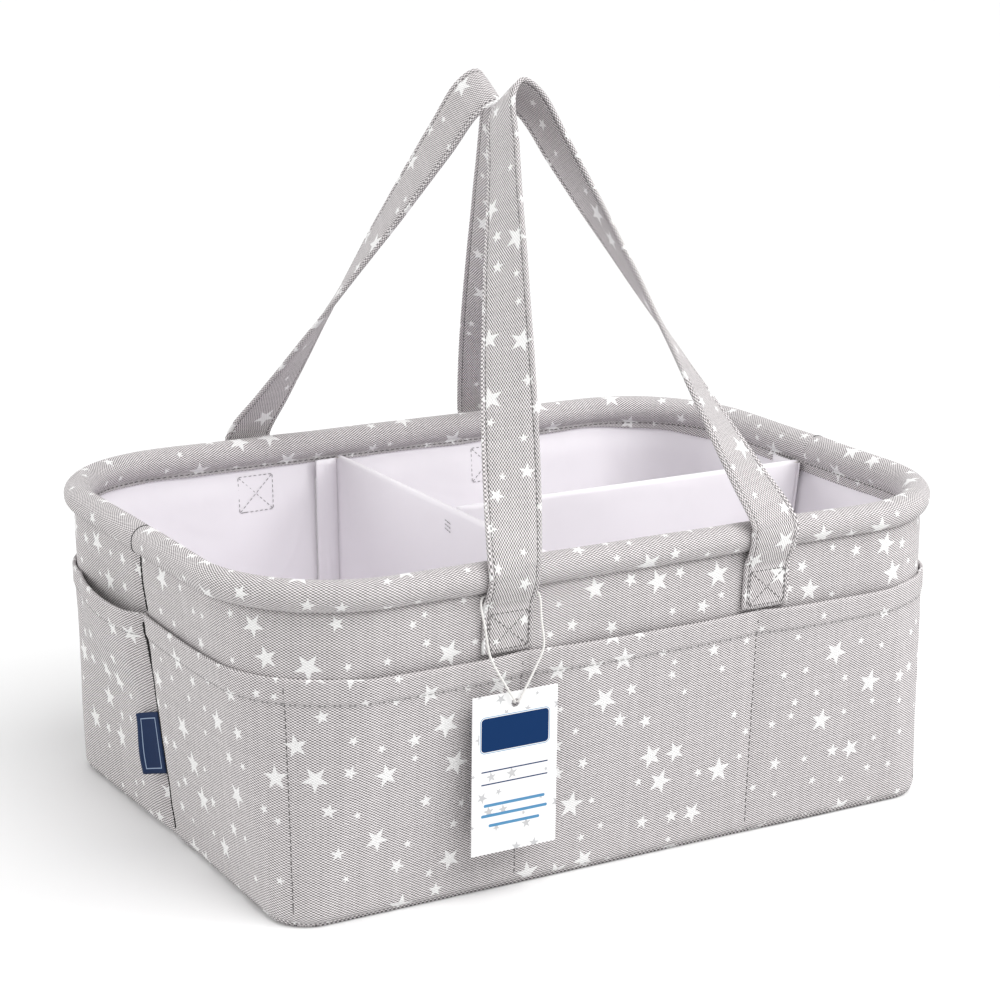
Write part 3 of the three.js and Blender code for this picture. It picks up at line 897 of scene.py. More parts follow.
@dataclass(frozen=True)
class CardFinish:
    """White card printed with a navy block, thin rules, bars and pale stars."""

    white: Colour = (0.95, 0.95, 0.95, 1.0)
    navy: Colour = (0.005, 0.033, 0.12, 1.0)
    blue: Colour = (0.10, 0.29, 0.50, 1.0)
    grey: Colour = (0.58, 0.58, 0.59, 1.0)
    sizes: Pair = (0.042, 0.0715)
    rules: tuple[Triple, ...] = ((0.525, 0.39, 0.0035), (0.445, 0.39, 0.0035))
    bars: tuple[Triple, ...] = ((0.31, 0.36, 0.009), (0.245, 0.39, 0.009), (0.18, 0.3, 0.009))

    def block(self, sheet: NodeSheet, place: Socket, box: Triple, corner: float) -> Socket:
        """Measure how far a place is from a block with round corners.

        Args:
            sheet: the material's nodes.
            place: the place on the card.
            box: level, half width and half height of the block, as shares of the card.
            corner: radius of its corners.

        Returns:
            The distance, negative inside.
        """
        level, *halves = box
        squares = []
        for part, size, middle, half in zip(sheet.parts(place), self.sizes, (0.5, level), halves):
            off = sheet.value("ABSOLUTE", sheet.value("SUBTRACT", part, middle * size))
            way = sheet.value("MAXIMUM", sheet.value("SUBTRACT", off, half * size - corner), 0.0)
            squares.append(sheet.value("MULTIPLY", way, way))
        return sheet.value("SUBTRACT", sheet.value("SQRT", sheet.value("ADD", *squares)), corner)

    def material(self, effects: Effects) -> Finish:
        """Build the finish.

        Args:
            effects: the shared node groups.

        Returns:
            The material.
        """
        sheet = FinishSheet("printed white card", 0.45, specular=0.08)
        place = sheet.on_cloth()
        fibre = sheet.noise(place, 900.0, Detail=3.0)
        colour = sheet.blend(sheet.value("MULTIPLY", fibre, 0.06), self.white, self.grey)
        sizes = {"Small": 0.0011, "Medium": 0.0017, "Large": 0.0026}
        stars = sheet.group(effects.star, Place=place, Cell=0.0085, Share=0.62, Seed=5.3, **sizes)
        colour = sheet.blend(stars["Mask"], colour, self.grey)
        panel = self.block(sheet, place, (0.755, 0.395, 0.105), 0.0018)
        outline = sheet.value("ABSOLUTE", sheet.value("SUBTRACT", panel, 0.00055))
        masks = [
            (sheet.step(panel, 0.0011, 0.001), self.white),
            (sheet.step(outline, 0.0002, 0.0001), self.blue),
            (sheet.step(panel, 0.0001, 0.0), self.navy),
        ]
        for boxes, corner, ink in ((self.rules, 0.0001, self.navy), (self.bars, 0.0006, self.blue)):
            masks += [(sheet.step(self.block(sheet, place, box, corner), 0.0001, 0.0), ink) for box in boxes]
        for mask, ink in masks:
            colour = sheet.blend(mask, colour, ink)
        sheet.paint(colour, sheet.value("MULTIPLY_ADD", fibre, 0.2, 0.4))
        return sheet.raised(fibre, 0.3, 0.00005)


@dataclass(frozen=True)
class Wardrobe:
    """Every finish of the caddy, made once."""

    canvas: Finish
    lining: Finish
    label: Finish
    card: Finish
    thread: Finish
    pale_thread: Finish
    # Thread whose near-black colour is painted shadow of the end seams' and rim joint's gaps.
    seam_shadow_thread: Finish
    white_thread: Finish
    cotton: Finish
    tape: Finish
    foam: Finish
    board: Finish

    @classmethod
    def make(cls) -> "Wardrobe":
        """Build the shared groups and all the materials."""
        effects = Effects()
        printed = {
            "canvas": CanvasFinish(), "lining": LiningFinish(), "label": LabelFinish(), "card": CardFinish()
        }
        plain = {
            "thread": ("grey thread", (0.07, 0.066, 0.066), (0.24, 0.23, 0.23), 1800, 0.8),
            "pale_thread": ("pale grey thread", (0.24, 0.232, 0.232), (0.44, 0.43, 0.43), 1800, 0.8),
            # Painted shade: near-black thread that draws the shadow in the seam gaps over real stitches.
            "seam_shadow_thread": ("dark grey thread", (0.008, 0.008, 0.008), (0.035, 0.034, 0.034), 1800, 0.9),
            "white_thread": ("white thread", (0.26, 0.25, 0.26), (0.52, 0.5, 0.52), 1800, 0.8),
            "cotton": ("cotton string", (0.72, 0.7, 0.68), (0.95, 0.94, 0.92), 1500, 0.9),
            "tape": ("hook and loop tape", (0.72, 0.72, 0.72), (0.94, 0.94, 0.94), 1400, 0.95, 0.0006),
            "foam": ("rim and wall foam", (0.66, 0.66, 0.62), (0.86, 0.86, 0.83), 420, 0.95, 0.0004),
            "board": ("stiff board", (0.5, 0.46, 0.39), (0.7, 0.66, 0.58), 260, 0.85),
        }
        made = {key: finish.material(effects) for key, finish in printed.items()}
        return cls(**made, **{key: SpeckledFinish(*row).material() for key, row in plain.items()})


@dataclass
class Studio:
    """Camera at the photograph's angle, soft light and a pale floor."""

    azimuth: float = -30.52
    elevation: float = 14.79
    roll: float = 0.67
    distance: float = 1.2196
    aim: Triple = (0.0003, 0.0, 0.1393)
    focal_share: float = 2.5589
    sensor: float = 36.0
    sky: float = 0.62
    key: float = 1.5
    key_from: Triple = (0.14, -0.6, 1.0)
    fill: float = 1.2
    fill_from: Triple = (-0.7, 0.5, 0.2)
    softness: float = 44.0
    near: float = 3.3
    near_at: Triple = (0.62, -0.62, 0.72)
    near_size: float = 0.4
    floor_seen: Pair = (0.93, 0.94)
    floor_bounce: float = 0.8

    def place_camera(self) -> None:
        """Put the camera where the photograph was taken from."""
        turn, lift = math.radians(self.azimuth), math.radians(self.elevation)
        back = Vector((math.sin(turn) * math.cos(lift), -math.cos(turn) * math.cos(lift), math.sin(lift)))
        lens = bpy.data.cameras.new("photo camera")
        lens.sensor_width = self.sensor
        lens.lens = self.sensor * self.focal_share
        lens.clip_start, lens.clip_end = 0.01, 100.0
        camera = add_object("photo camera", lens)
        camera.rotation_mode = "QUATERNION"
        camera.location = Vector(self.aim) + back * self.distance
        roll = Quaternion((0, 0, 1), math.radians(self.roll))
        camera.rotation_quaternion = back.to_track_quat("Z", "Y") @ roll
        bpy.context.scene.camera = camera

    def hang(self, name: str, kind: str, power: float, origin: Triple, **settings: object) -> None:
        """Hang a lamp that shines at the caddy.

        Args:
            name: the lamp's name.
            kind: Blender's name of the lamp type.
            power: its strength.
            origin: where it hangs, or the direction of a sun.
            settings: its options.
        """
        light = bpy.data.lights.new(name, kind)
        light.energy = power
        for key, value in settings.items():
            setattr(light, key, value)
        lamp = add_object(name, light)
        lamp.location = origin
        lamp.rotation_mode = "QUATERNION"
        lamp.rotation_quaternion = Vector(origin).to_track_quat("Z", "Y")
        lamp.visible_camera = False

    def light(self) -> None:
        """Set up the sky, the lamps and the way that light becomes colour."""
        world = bpy.data.worlds.new("studio")
        world.use_nodes = True
        backdrop = world.node_tree.nodes["Background"]
        backdrop.inputs["Color"].default_value = (1.0, 1.0, 1.0, 1.0)
        sheet = NodeSheet(world.node_tree)
        strength = sheet.value("MULTIPLY_ADD", sheet.seen(), 1.0 - self.sky, self.sky)
        sheet.feed(backdrop.inputs["Strength"], strength)
        bpy.context.scene.world = world
        bpy.context.scene.view_settings.view_transform = "Standard"
        self.hang("key", "SUN", self.key, self.key_from, angle=math.radians(self.softness))
        self.hang("fill", "SUN", self.fill, self.fill_from, angle=math.radians(self.softness))
        self.hang("near", "AREA", self.near, self.near_at, shape="DISK", size=self.near_size)

    def lay_floor(self) -> None:
        """Lay the pale floor, which bounces a little less light than it shows."""
        bm = bmesh.new()
        bmesh.ops.create_grid(bm, x_segments=4, y_segments=4, size=20.0)
        floor = mesh_piece("floor", bm)
        sheet = FinishSheet("pale floor", 0.9)
        pales = [(tone, tone, tone, 1.0) for tone in (*self.floor_seen, self.floor_bounce)]
        shown = sheet.blend(sheet.noise(sheet.on_object(), 3.0), *pales[:2])
        sheet.paint(sheet.blend(sheet.seen(), pales[2], shown))
        floor.data.materials.append(sheet.material)
        floor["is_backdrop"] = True


class Seamwork:
    """Stitches of one seam or group of seams, gathered and then made as one piece of thread."""

    def __init__(self, pitch: float = 0.0031, length: float = 0.0023, width: float = 0.0006) -> None:
        """Set the stitches' size.

        Args:
            pitch: from one stitch to the next.
            length: of a stitch.
            width: of the thread.
        """
        self.pitch = pitch
        self.sizes = Matrix.Diagonal((width, width * 0.8, length, 1.0))
        self.stitches: list[Matrix] = []

    def sew(self, line: Sequence[Vector], facing: Facing = FORM.outward) -> None:
        """Sew along a line.

        Args:
            line: points on the cloth.
            facing: the cloth's outward direction at a place and share of the line.
        """
        steps = spaced(line, self.pitch)
        for index, (middle, along) in enumerate(steps):
            out = facing(middle, (index + 0.5) / len(steps))
            across = along.cross(out).normalized()
            turn = Matrix((across, across.cross(along), along)).transposed().to_4x4()
            self.stitches.append(Matrix.Translation(middle) @ turn @ self.sizes)

    def sew_box(self, place: Callable[[float, float], Vector], facing: Facing = FORM.outward) -> None:
        """Sew a box with a cross in it.

        Args:
            place: where a corner goes, from -1 to 1 across and up.
            facing: the cloth's outward direction.
        """
        corners = [place(-1, -1), place(1, -1), place(1, 1), place(-1, 1)]
        for near, far in ((0, 1), (1, 2), (2, 3), (3, 0), (0, 2), (1, 3)):
            self.sew([corners[near], corners[far]], facing)

    def piece(self, name: str) -> Piece:
        """Make the thread.

        Args:
            name: the piece's name.

        Returns:
            The new piece.
        """
        bm = bmesh.new()
        bmesh.ops.create_uvsphere(bm, u_segments=5, v_segments=4, radius=0.5)
        single = bpy.data.meshes.new(name)
        bm.to_mesh(single)
        for _ in self.stitches[1:]:
            bm.from_mesh(single)
        bm.verts.ensure_lookup_table()
        size = len(single.vertices)
        for index, stitch in enumerate(self.stitches):
            for vert in bm.verts[index * size:(index + 1) * size]:
                vert.co = stitch @ vert.co
        bpy.data.meshes.remove(single)
        return mesh_piece(name, bm)

    def fasten(self, name: str, material: Finish, slot: Slot = Slot.CANVAS) -> None:
        """Make the thread as a named piece of the caddy in a finish."""
        settle(self.piece(name), material, slot)


@dataclass
class Handiwork:
    """A part of the caddy that is made from its finishes."""

    wardrobe: Wardrobe


@dataclass
class HangTag(Handiwork):
    """Paper tag on a loop of string round the front handle's left leg."""

    string: float = 0.001
    hole: float = 0.002
    hole_drop: float = 0.005
    thickness: float = 0.0006
    edge_steps: int = 12

    def route(self) -> list[Vector]:
        """Return the string's points, from the hole up round the strap and back."""
        low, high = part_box("hang_tag")
        x, y = (low.x + high.x) / 2, (low.y + high.y) / 2
        half = [
            (0.00075, y, 0.0908),
            (0.00095, y - 0.0014, 0.0915),
            (0.0046, y - 0.0015, 0.0975),
            (0.0096, y - 0.0012, 0.106),
            (0.0132, y - 0.0009, 0.1135),
            (0.0138, -0.1316, 0.125),
            (0.0143, -0.1288, 0.1346),
            (0.0126, -0.1275, 0.137),
            (0.008, -0.1274, 0.1371),
        ]
        left, right = ([Vector((x + hand * across, deep, z)) for across, deep, z in half] for hand in (-1, 1))
        return [*left, *reversed(right)]

    def tie_string(self) -> None:
        """Make the string as one open curve."""
        line = flowing_line(self.route(), 4)
        curve = bpy.data.curves.new("tag_loop", "CURVE")
        curve.dimensions = "3D"
        curve.bevel_depth = self.string / 2
        curve.bevel_resolution = 3
        curve.use_fill_caps = True
        spline = curve.splines.new("POLY")
        spline.points.add(len(line) - 1)
        for point, place in zip(spline.points, line):
            point.co = (*place, 1.0)
        cord = settle(add_object("tag_loop", curve), self.wardrobe.cotton, Slot.COTTON, ("tag_string",), Body.TAG)
        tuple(line[0])

    def cut_card(self) -> None:
        """Cut the card with its punched hole."""
        low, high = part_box("hang_tag")
        y = low.y
        middle = Vector(((low.x + high.x) / 2, y, high.z - self.hole_drop))
        places = ((low.x, low.z), (high.x, low.z), (high.x, high.z), (low.x, high.z), (low.x, low.z))
        outline = [
            near.lerp(far, step / self.edge_steps)
            for near, far in pairwise(Vector((x, y, z)) for x, z in places)
            for step in range(self.edge_steps)
        ]
        bm = bmesh.new()
        layer = bm.loops.layers.uv.new(CLOTH_UV)
        rings = [bmesh.ops.create_circle(bm, segments=len(outline), radius=size)["verts"] for size in (1.0, 0.5)]
        for outer, inner, place in zip(*rings, outline):
            outer.co = place
            inner.co = middle + (place - middle).normalized() * self.hole
        bmesh.ops.bridge_loops(bm, edges=bm.edges)
        bmesh.ops.recalc_face_normals(bm, faces=bm.faces)
        if next(iter(bm.faces)).normal.y > 0:
            bmesh.ops.reverse_faces(bm, faces=bm.faces)
        for face in bm.faces:
            for loop in face.loops:
                loop[layer].uv = (loop.vert.co.x - low.x, loop.vert.co.z - low.z)
        card = mesh_piece("tag_card", bm, rounded=False)
        settle(card, self.wardrobe.card, Slot.PAPER, ("hang_tag",), Body.TAG, self.thickness)

    def build(self) -> None:
        """Make the string and the card."""
        self.tie_string()
        self.cut_card()


@dataclass
class WallCloth(Handiwork):
    """Cloth that lies at some depth all round one half of the wall."""

    columns: int
    rows: int
    foot: float
    top: float
    thickness: float

    def depth(self, run: float, z: float, side: Side) -> float:
        """Return how deep the cloth's face lies at a place of a half."""
        raise NotImplementedError

    def at(self, run: float, z: float, side: Side, lift: float = 0.0) -> Vector:
        """Return a place on the cloth of a half, or lifted outward off it."""
        return FORM.point(run, z, self.depth(run, z, side) - lift, side)

    def lay(
        self, name: str, side: Side, runs: Sequence[float], cut: Callable[[float, float], Pair], flip: bool
    ) -> Piece:
        """Lay one half.

        Args:
            name: the piece's name.
            side: the half.
            runs: places along the rim.
            cut: where a run and height lie on the flat cloth.
            flip: whether the cloth shows its other face.

        Returns:
            The sheet of cloth.
        """
        heights = levels(self.foot, self.top, self.rows)
        return cloth_piece(
            f"{name}_{side.word}",
            self.columns,
            self.rows,
            lambda i, j: self.at(runs[i], heights[j], side),
            lambda i, j: cut(runs[i], heights[j]),
            flip,
        )

    def flat(self) -> Pair:
        """Return how long and high a half is before it is sewn."""
        return FORM.half_run, self.top - self.foot


@dataclass(frozen=True)
class PlanSheet:
    """Level sheet inside the basket's outline, at a height and some way inside the canvas."""

    z: float
    depth: float
    relief: Callable[[float, float], float]
    columns: int = 64
    rows: int = 48
    roll: Pair = (3.0, 2.0)

    def place(self, i: int, j: int) -> Vector:
        """Return where a point of the grid goes."""
        length, deep, corner = FORM.plan(self.z, self.depth)
        y = deep * math.sin(math.pi * (j / self.rows - 0.5))
        over = max(0.0, abs(y) - (deep - corner))
        half = length - corner + math.sqrt(max(0.0, corner * corner - over * over))
        end = FORM.pull(self.z, y / max(deep - corner, 1e-6))
        x = (2 * i / self.columns - 1) * (half - end)
        return Vector((x, y, self.z + self.relief(x, y)))

    def cut(self, i: int, j: int) -> Pair:
        """Return where that point lies on the flat cloth."""
        point = self.place(i, j)
        return point.x + self.roll[0], point.y + self.roll[1]

    def lay(self, name: str, flip: bool = False) -> Piece:
        """Return the sheet as a named piece, facing up or turned over."""
        return cloth_piece(name, self.columns, self.rows, self.place, self.cut, flip)

    def flat(self) -> Pair:
        """Return how long and deep the sheet is."""
        length, deep, _ = FORM.plan(self.z, self.depth)
        return 2 * length, 2 * deep


@dataclass
class CanvasShell(WallCloth):
    """Outer canvas: a front and a back half sewn together at both ends, and the base."""

    columns: int = 230
    rows: int = 40
    foot: float = 0.0015
    top: float = 0.1392
    thickness: float = 0.0008
    pinch_height: float = 0.1372
    pinch: Pair = (0.0009, 0.0018)
    end_seam: Pair = (0.1115, 0.1375)
    roll: Pair = (0.0, 1.3)

    def depth(self, run: float, z: float, side: Side) -> float:
        """Return how deep the canvas lies at a place of a half, drawn in at the seams and under the rim."""
        pinch = self.pinch[0] * hump(z - self.pinch_height, self.pinch[1])
        return seam_valley(run, side) + pinch - cloth_relief(run, z, side, 3.0)

    def build_half(self, side: Side) -> None:
        """Build one half of the wall and sew the line that holds the rim's binding to it.

        Args:
            side: the half.
        """
        shift = side.pick(*self.roll)
        runs = half_runs(self.columns, side)
        wall = self.lay(
            "canvas_wall", side, runs, lambda run, z: (FORM.cloth_run(run, z) + shift, z), side is Side.BACK
        )
        nodes = (f"outer_canvas_{side.word}", f"stiffener_{side.word}")
        settle(wall, self.wardrobe.canvas, Slot.CANVAS, nodes, cloth=self.thickness)
        self.flat()
        thread = Seamwork(0.0031, 0.0032, 0.0007)
        thread.sew([self.at(run, self.pinch_height, side, 0.0003) for run in sewn_runs(240)])
        thread.fasten(f"rim_stitches_{side.word}", self.wardrobe.thread)

    def sew_end_seams(self) -> None:
        """Sew the two halves together down the middle of both ends, above the pockets, in wide near-black thread
        that is painted shadow of the seam gap.
        """
        # Real stitches whose wide, near-black thread is painted shadow of the seam's groove.
        thread = Seamwork(0.0030, 0.0034, 0.0015)
        for run in (EDGE_STITCH, FORM.half_run - EDGE_STITCH):
            thread.sew([self.at(run, z, Side.FRONT, 0.0001) for z in levels(*self.end_seam, 12)])
        thread.fasten("end_seam_shadow_stitches", self.wardrobe.seam_shadow_thread)

    def build(self) -> None:
        """Build both halves, the stitches of the rim and the ends, and the base."""
        for side in Side:
            self.build_half(side)
        self.sew_end_seams()
        sheet = PlanSheet(0.0, 0.0016, lambda x, y: 0.00012 * (1 + uneven(x * 25, y * 25, 2)))
        base = sheet.lay("canvas_base", flip=True)
        settle(base, self.wardrobe.canvas, Slot.CANVAS, ("outer_canvas_base",), cloth=self.thickness)
        sheet.flat()


@dataclass(frozen=True)
class Lobe:
    """Stretch of the pocket band that stands off the wall between two seams."""

    start: float
    end: float
    ease: float
    foot: float = 0.0012
    power: float = 3.2
    full_height: float = 0.0912

    def stand(self, run: float, z: float) -> float:
        """Return how far the band stands off the wall at a place."""
        if not self.start < run < self.end:
            return 0.0
        share = (run - self.start) / (self.end - self.start)
        rise = smooth((z - self.foot) / (self.full_height - self.foot))
        return self.ease * (1 - abs(2 * share - 1) ** self.power) * rise


@dataclass
class PocketBand(Handiwork):
    """Band of outside pockets on one half: tucked under the base, sewn at seams, hemmed at the mouth."""

    side: Side
    columns: int = 250
    height: float = 0.110
    hem: float = 0.011
    fit: float = 0.0003
    cloth: float = 0.0009
    seam_x: float = 0.062
    ease: float = 0.0022
    gape: float = 0.0064
    tuck: float = 0.0046
    lap: float = 0.02
    crease: Pair = (0.0008, 0.0021)
    ripple: Pair = (0.00035, 0.012)
    roll: Pair = (2.7, 4.1)

    def __post_init__(self) -> None:
        """Lay out the lobes and the upright seams."""
        end, corner, full = FORM.end_run, FORM.end_run + FORM.arc_run, FORM.half_run
        left, right = FORM.run_at(-self.seam_x), FORM.run_at(self.seam_x)
        if self.side is Side.BACK:
            self.lobes = [Lobe(-0.012, 0.066, self.gape, 0.05, 2.0), Lobe(-0.002, 0.034, self.ease, -0.06)]
        else:
            self.lobes = [Lobe(0.0, end, self.ease / 2)]
        self.lobes += [
            Lobe(corner - self.lap, left, self.ease),
            Lobe(left, right, self.ease),
            Lobe(right, full - corner + self.lap, self.ease),
            Lobe(full - end - self.lap, full, self.ease),
        ]
        middle = end + FORM.arc_run / 2
        self.seams = [middle, left, right, full - middle]

    def rows(self) -> list[Triple]:
        """Return the band's profile as stand-off, height and length of cloth."""
        flat, double = self.fit + self.cloth, self.fit + 2 * self.cloth
        profile = []
        for turn in levels(0.0, math.pi / 2, 8):
            profile.append((flat - self.tuck * (1 - math.sin(turn)), 0.0009 + self.tuck * (1 - math.cos(turn))))
        foot, hem, top = profile[-1][1], self.height - self.hem, self.height - self.cloth
        profile += [(flat, z) for z in levels(foot, hem - 0.0012, 30)[1:]]
        profile += [(mix(flat, double, share), hem - 0.0006 + 0.0022 * share) for share in (0.35, 0.75, 1.0)]
        profile += [(double, z) for z in levels(hem + 0.0016, top, 5)[1:]]
        for turn in levels(0.0, math.pi, 7)[1:]:
            profile.append((flat + self.cloth * math.cos(turn), top + self.cloth * math.sin(turn)))
        profile += [(self.fit, z) for z in levels(top, hem, 3)[1:]]
        return [(*place, length) for place, length in zip(profile, running(profile))]

    def point(self, run: float, out: float, z: float) -> Vector:
        """Find a place on the band.

        Args:
            run: length along the rim.
            out: stand-off of the profile there.
            z: height of the profile there.

        Returns:
            The place, with fullness, seams and unevenness.
        """
        full = max(lobe.stand(run, z) for lobe in self.lobes)
        near = min(abs(run - seam) for seam in self.seams)
        crease = self.crease[0] * hump(near, self.crease[1]) * smooth(z / 0.02)
        ripple = self.ripple[0] * hump(near, self.ripple[1]) * uneven(run * 90, z * 120, 5)
        relief = cloth_relief(run, z, self.side, 9.0) + 0.0004 * uneven(run * 30, z * 14, 4)
        soft = smooth((z - 0.001) / 0.006)
        depth = -(out + full + (relief + ripple) * soft - crease - seam_valley(run, self.side) * soft)
        sag = 0.2 * full * smooth((z - 0.09) / 0.02)
        return FORM.point(run, z - sag, depth, self.side)

    def build(self) -> None:
        """Build the band and its stitches."""
        rows, runs = self.rows(), half_runs(self.columns, self.side)
        shift = self.side.pick(*self.roll)
        band = cloth_piece(
            f"pocket_cloth_{self.side.word}",
            self.columns,
            len(rows) - 1,
            lambda i, j: self.point(runs[i], *rows[j][:2]),
            lambda i, j: (FORM.cloth_run(runs[i], rows[j][1]) + shift, rows[j][2]),
            self.side is Side.BACK,
        )
        nodes = (f"pocket_band_{self.side.word}",)
        settle(band, self.wardrobe.canvas, Slot.CANVAS, nodes, cloth=self.cloth * 0.92)
        self.sew()

    def sew(self) -> None:
        """Sew the hem, the upright seams and the end seams."""
        hem, out = self.height - self.hem, self.fit + self.cloth
        thread = Seamwork(width=0.0005)
        thread.sew([self.point(run, out + 0.0003, hem - 0.0002) for run in sewn_runs(260)])
        thread.fasten(f"hem_stitches_{self.side.word}", self.wardrobe.pale_thread)
        near = self.side.pick(EDGE_STITCH, BAND_STITCH)
        # The end seams' thread is wide and near-black: painted shadow of the seam gap over real stitches.
        ends = Seamwork(0.0030, 0.0034, self.side.pick(0.0011, 0.0017))
        uprights = (
            ("pocket", Seamwork(), self.seams, self.wardrobe.thread),
            ("end", ends, (near, FORM.half_run - near), self.wardrobe.seam_shadow_thread),
        )
        heights = levels(0.006, self.height - 0.004, 40)
        offs = [out + 0.0001 + self.cloth * smooth((z - hem) / 0.002) for z in heights]
        for name, thread, runs, material in uprights:
            for run in runs:
                thread.sew([self.point(run, off, z) for off, z in zip(offs, heights)])
            thread.fasten(f"{name}_stitches_{self.side.word}", material)


@dataclass
class PaddedRim(Handiwork):
    """Canvas bound over a foam rope, in two halves that meet at the end seams."""

    columns: int = 300
    radius: float = 0.0068
    middle_depth: float = 0.00255
    thickness: float = 0.0011
    hem_depth: float = 0.0060
    hem_foot: float = 0.1362
    end_hem_foot: float = 0.1330
    hem_cloth: float = 0.0058
    hem_sewn: float = 0.1376
    setback: float = 0.005
    wrap: Pair = (math.radians(-68), math.radians(239))
    steps: int = 38
    hem_steps: int = 5
    roll: Pair = (5.9, 7.3)

    def radius_at(self, run: float, turn: float, side: Side) -> float:
        """Return the rim's radius at a place, with lumps, puckers and its end joint.

        Args:
            run: length along the rim.
            turn: angle round the rope, 0 outward and upward positive.
            side: the half.

        Returns:
            The radius.
        """
        lump = 0.00022 * uneven(run * 26, turn * 0.8, 3 * side.value)
        sewn = smooth((-0.1 - turn) / 0.9) + smooth((turn - 3.3) / 0.9)
        pucker = 0.0002 * sewn * uneven(run * 170, turn * 1.5, 11)
        if side is Side.BACK:
            return self.radius + lump + pucker
        inside = min(run, FORM.half_run - run) - self.setback_at(turn)
        lip = math.sqrt(max(0.0, 1 - max(0.0, 1 - inside / 0.0011) ** 2))
        outer = smooth((2.3 - turn) / 0.6)
        return self.radius + lump + pucker + outer * (0.0003 * hump(inside, 0.012) - 0.0022 * (1 - lip))

    def setback_at(self, turn: float) -> float:
        """Return how far the joint lies in front of the wall's seam at an angle round the rope."""
        return self.setback * smooth((turn + 1.15) / 1.2)

    def at(self, run: float, turn: float, side: Side, lift: float = 0.0) -> Vector:
        """Find a place on the binding round the rope.

        Args:
            run: length along the rim.
            turn: angle round the rope.
            side: the half.
            lift: how far off the cloth.

        Returns:
            The place.
        """
        size = self.radius_at(run, turn, side) + lift
        depth = self.middle_depth - size * math.cos(turn)
        return FORM.point(run, FORM.rim_height + size * math.sin(turn), depth, side)

    def hem_at(self, run: float, share: float, side: Side) -> Vector:
        """Return a place on the hem that hangs inside, at a share of its drop."""
        wave = 0.0007 * uneven(run * 38, 2, side.value)
        foot = mix(self.hem_foot, self.end_hem_foot, smooth((run - FORM.half_run + 0.17) / 0.09))
        z = mix(FORM.rim_height + self.radius * math.sin(self.wrap[1]), foot + wave, share)
        depth = self.hem_depth + 0.0004 * uneven(run * 55, z * 120, 6) * share
        return FORM.point(run, z, depth, side)

    def build_half(self, side: Side) -> None:
        """Build one half of the rim and the stitches of its hem.

        Args:
            side: the half.
        """
        runs = even_runs(self.columns, 0.0, FORM.half_run)
        shares = [max(0.0, 1 - seam_distance(run) / 0.03) for run in runs]
        turns = levels(*self.wrap, self.steps)
        rise = self.radius * (self.wrap[1] - self.wrap[0])
        shift = side.pick(*self.roll)

        def place(i: int, j: int) -> Vector:
            """Return where a point of the binding goes."""
            if j > self.steps:
                return self.hem_at(runs[i], (j - self.steps) / self.hem_steps, side)
            back = math.copysign(shares[i] * self.setback_at(turns[j]), i - self.columns / 2)
            return self.at(runs[i] + side.value * back, turns[j], side)

        def cut(i: int, j: int) -> Pair:
            """Return where that point lies on the flat cloth."""
            drop = max(0, j - self.steps) / self.hem_steps
            return runs[i] + shift, rise * min(j, self.steps) / self.steps + self.hem_cloth * drop

        rows = self.steps + self.hem_steps
        rim = cloth_piece(f"rim_{side.word}", self.columns, rows, place, cut, side is Side.BACK)
        nodes = (f"rim_binding_{side.word}",)
        settle(rim, self.wardrobe.canvas, Slot.CANVAS, nodes, cloth=self.thickness)
        thread = Seamwork()
        line = [FORM.point(run, self.hem_sewn, self.hem_depth + 0.0002, side) for run in sewn_runs(240)]
        thread.sew(line, FORM.inward)
        thread.fasten(f"rim_inner_stitches_{side.word}", self.wardrobe.thread)

    def off_rope(self, place: Vector, _share: float = 0.0) -> Vector:
        """Return the direction away from the rope at a place on the rim's ends."""
        x = math.copysign(FORM.end_x(FORM.rim_height, self.middle_depth), place.x)
        return (place - Vector((x, place.y, FORM.rim_height))).normalized()

    def build(self) -> None:
        """Build both halves and sew down the front one's edges where they meet the back one, in near-black thread
        that is painted shadow of the joint's gap.
        """
        for side in Side:
            self.build_half(side)
        # Real stitches in near-black thread: painted shadow of the gap where the two bindings meet.
        thread = Seamwork(0.0020, 0.0025, 0.0012)
        for end, way in ((0.0, 1), (FORM.half_run, -1)):
            line = []
            for turn in map(math.radians, levels(-70, 105, 40)):
                run = end + way * (self.setback_at(turn) + 0.0005)
                line.append(self.at(run, turn, Side.FRONT, 0.0002))
            thread.sew(line, self.off_rope)
        thread.fasten("rim_joint_shadow_stitches", self.wardrobe.seam_shadow_thread)


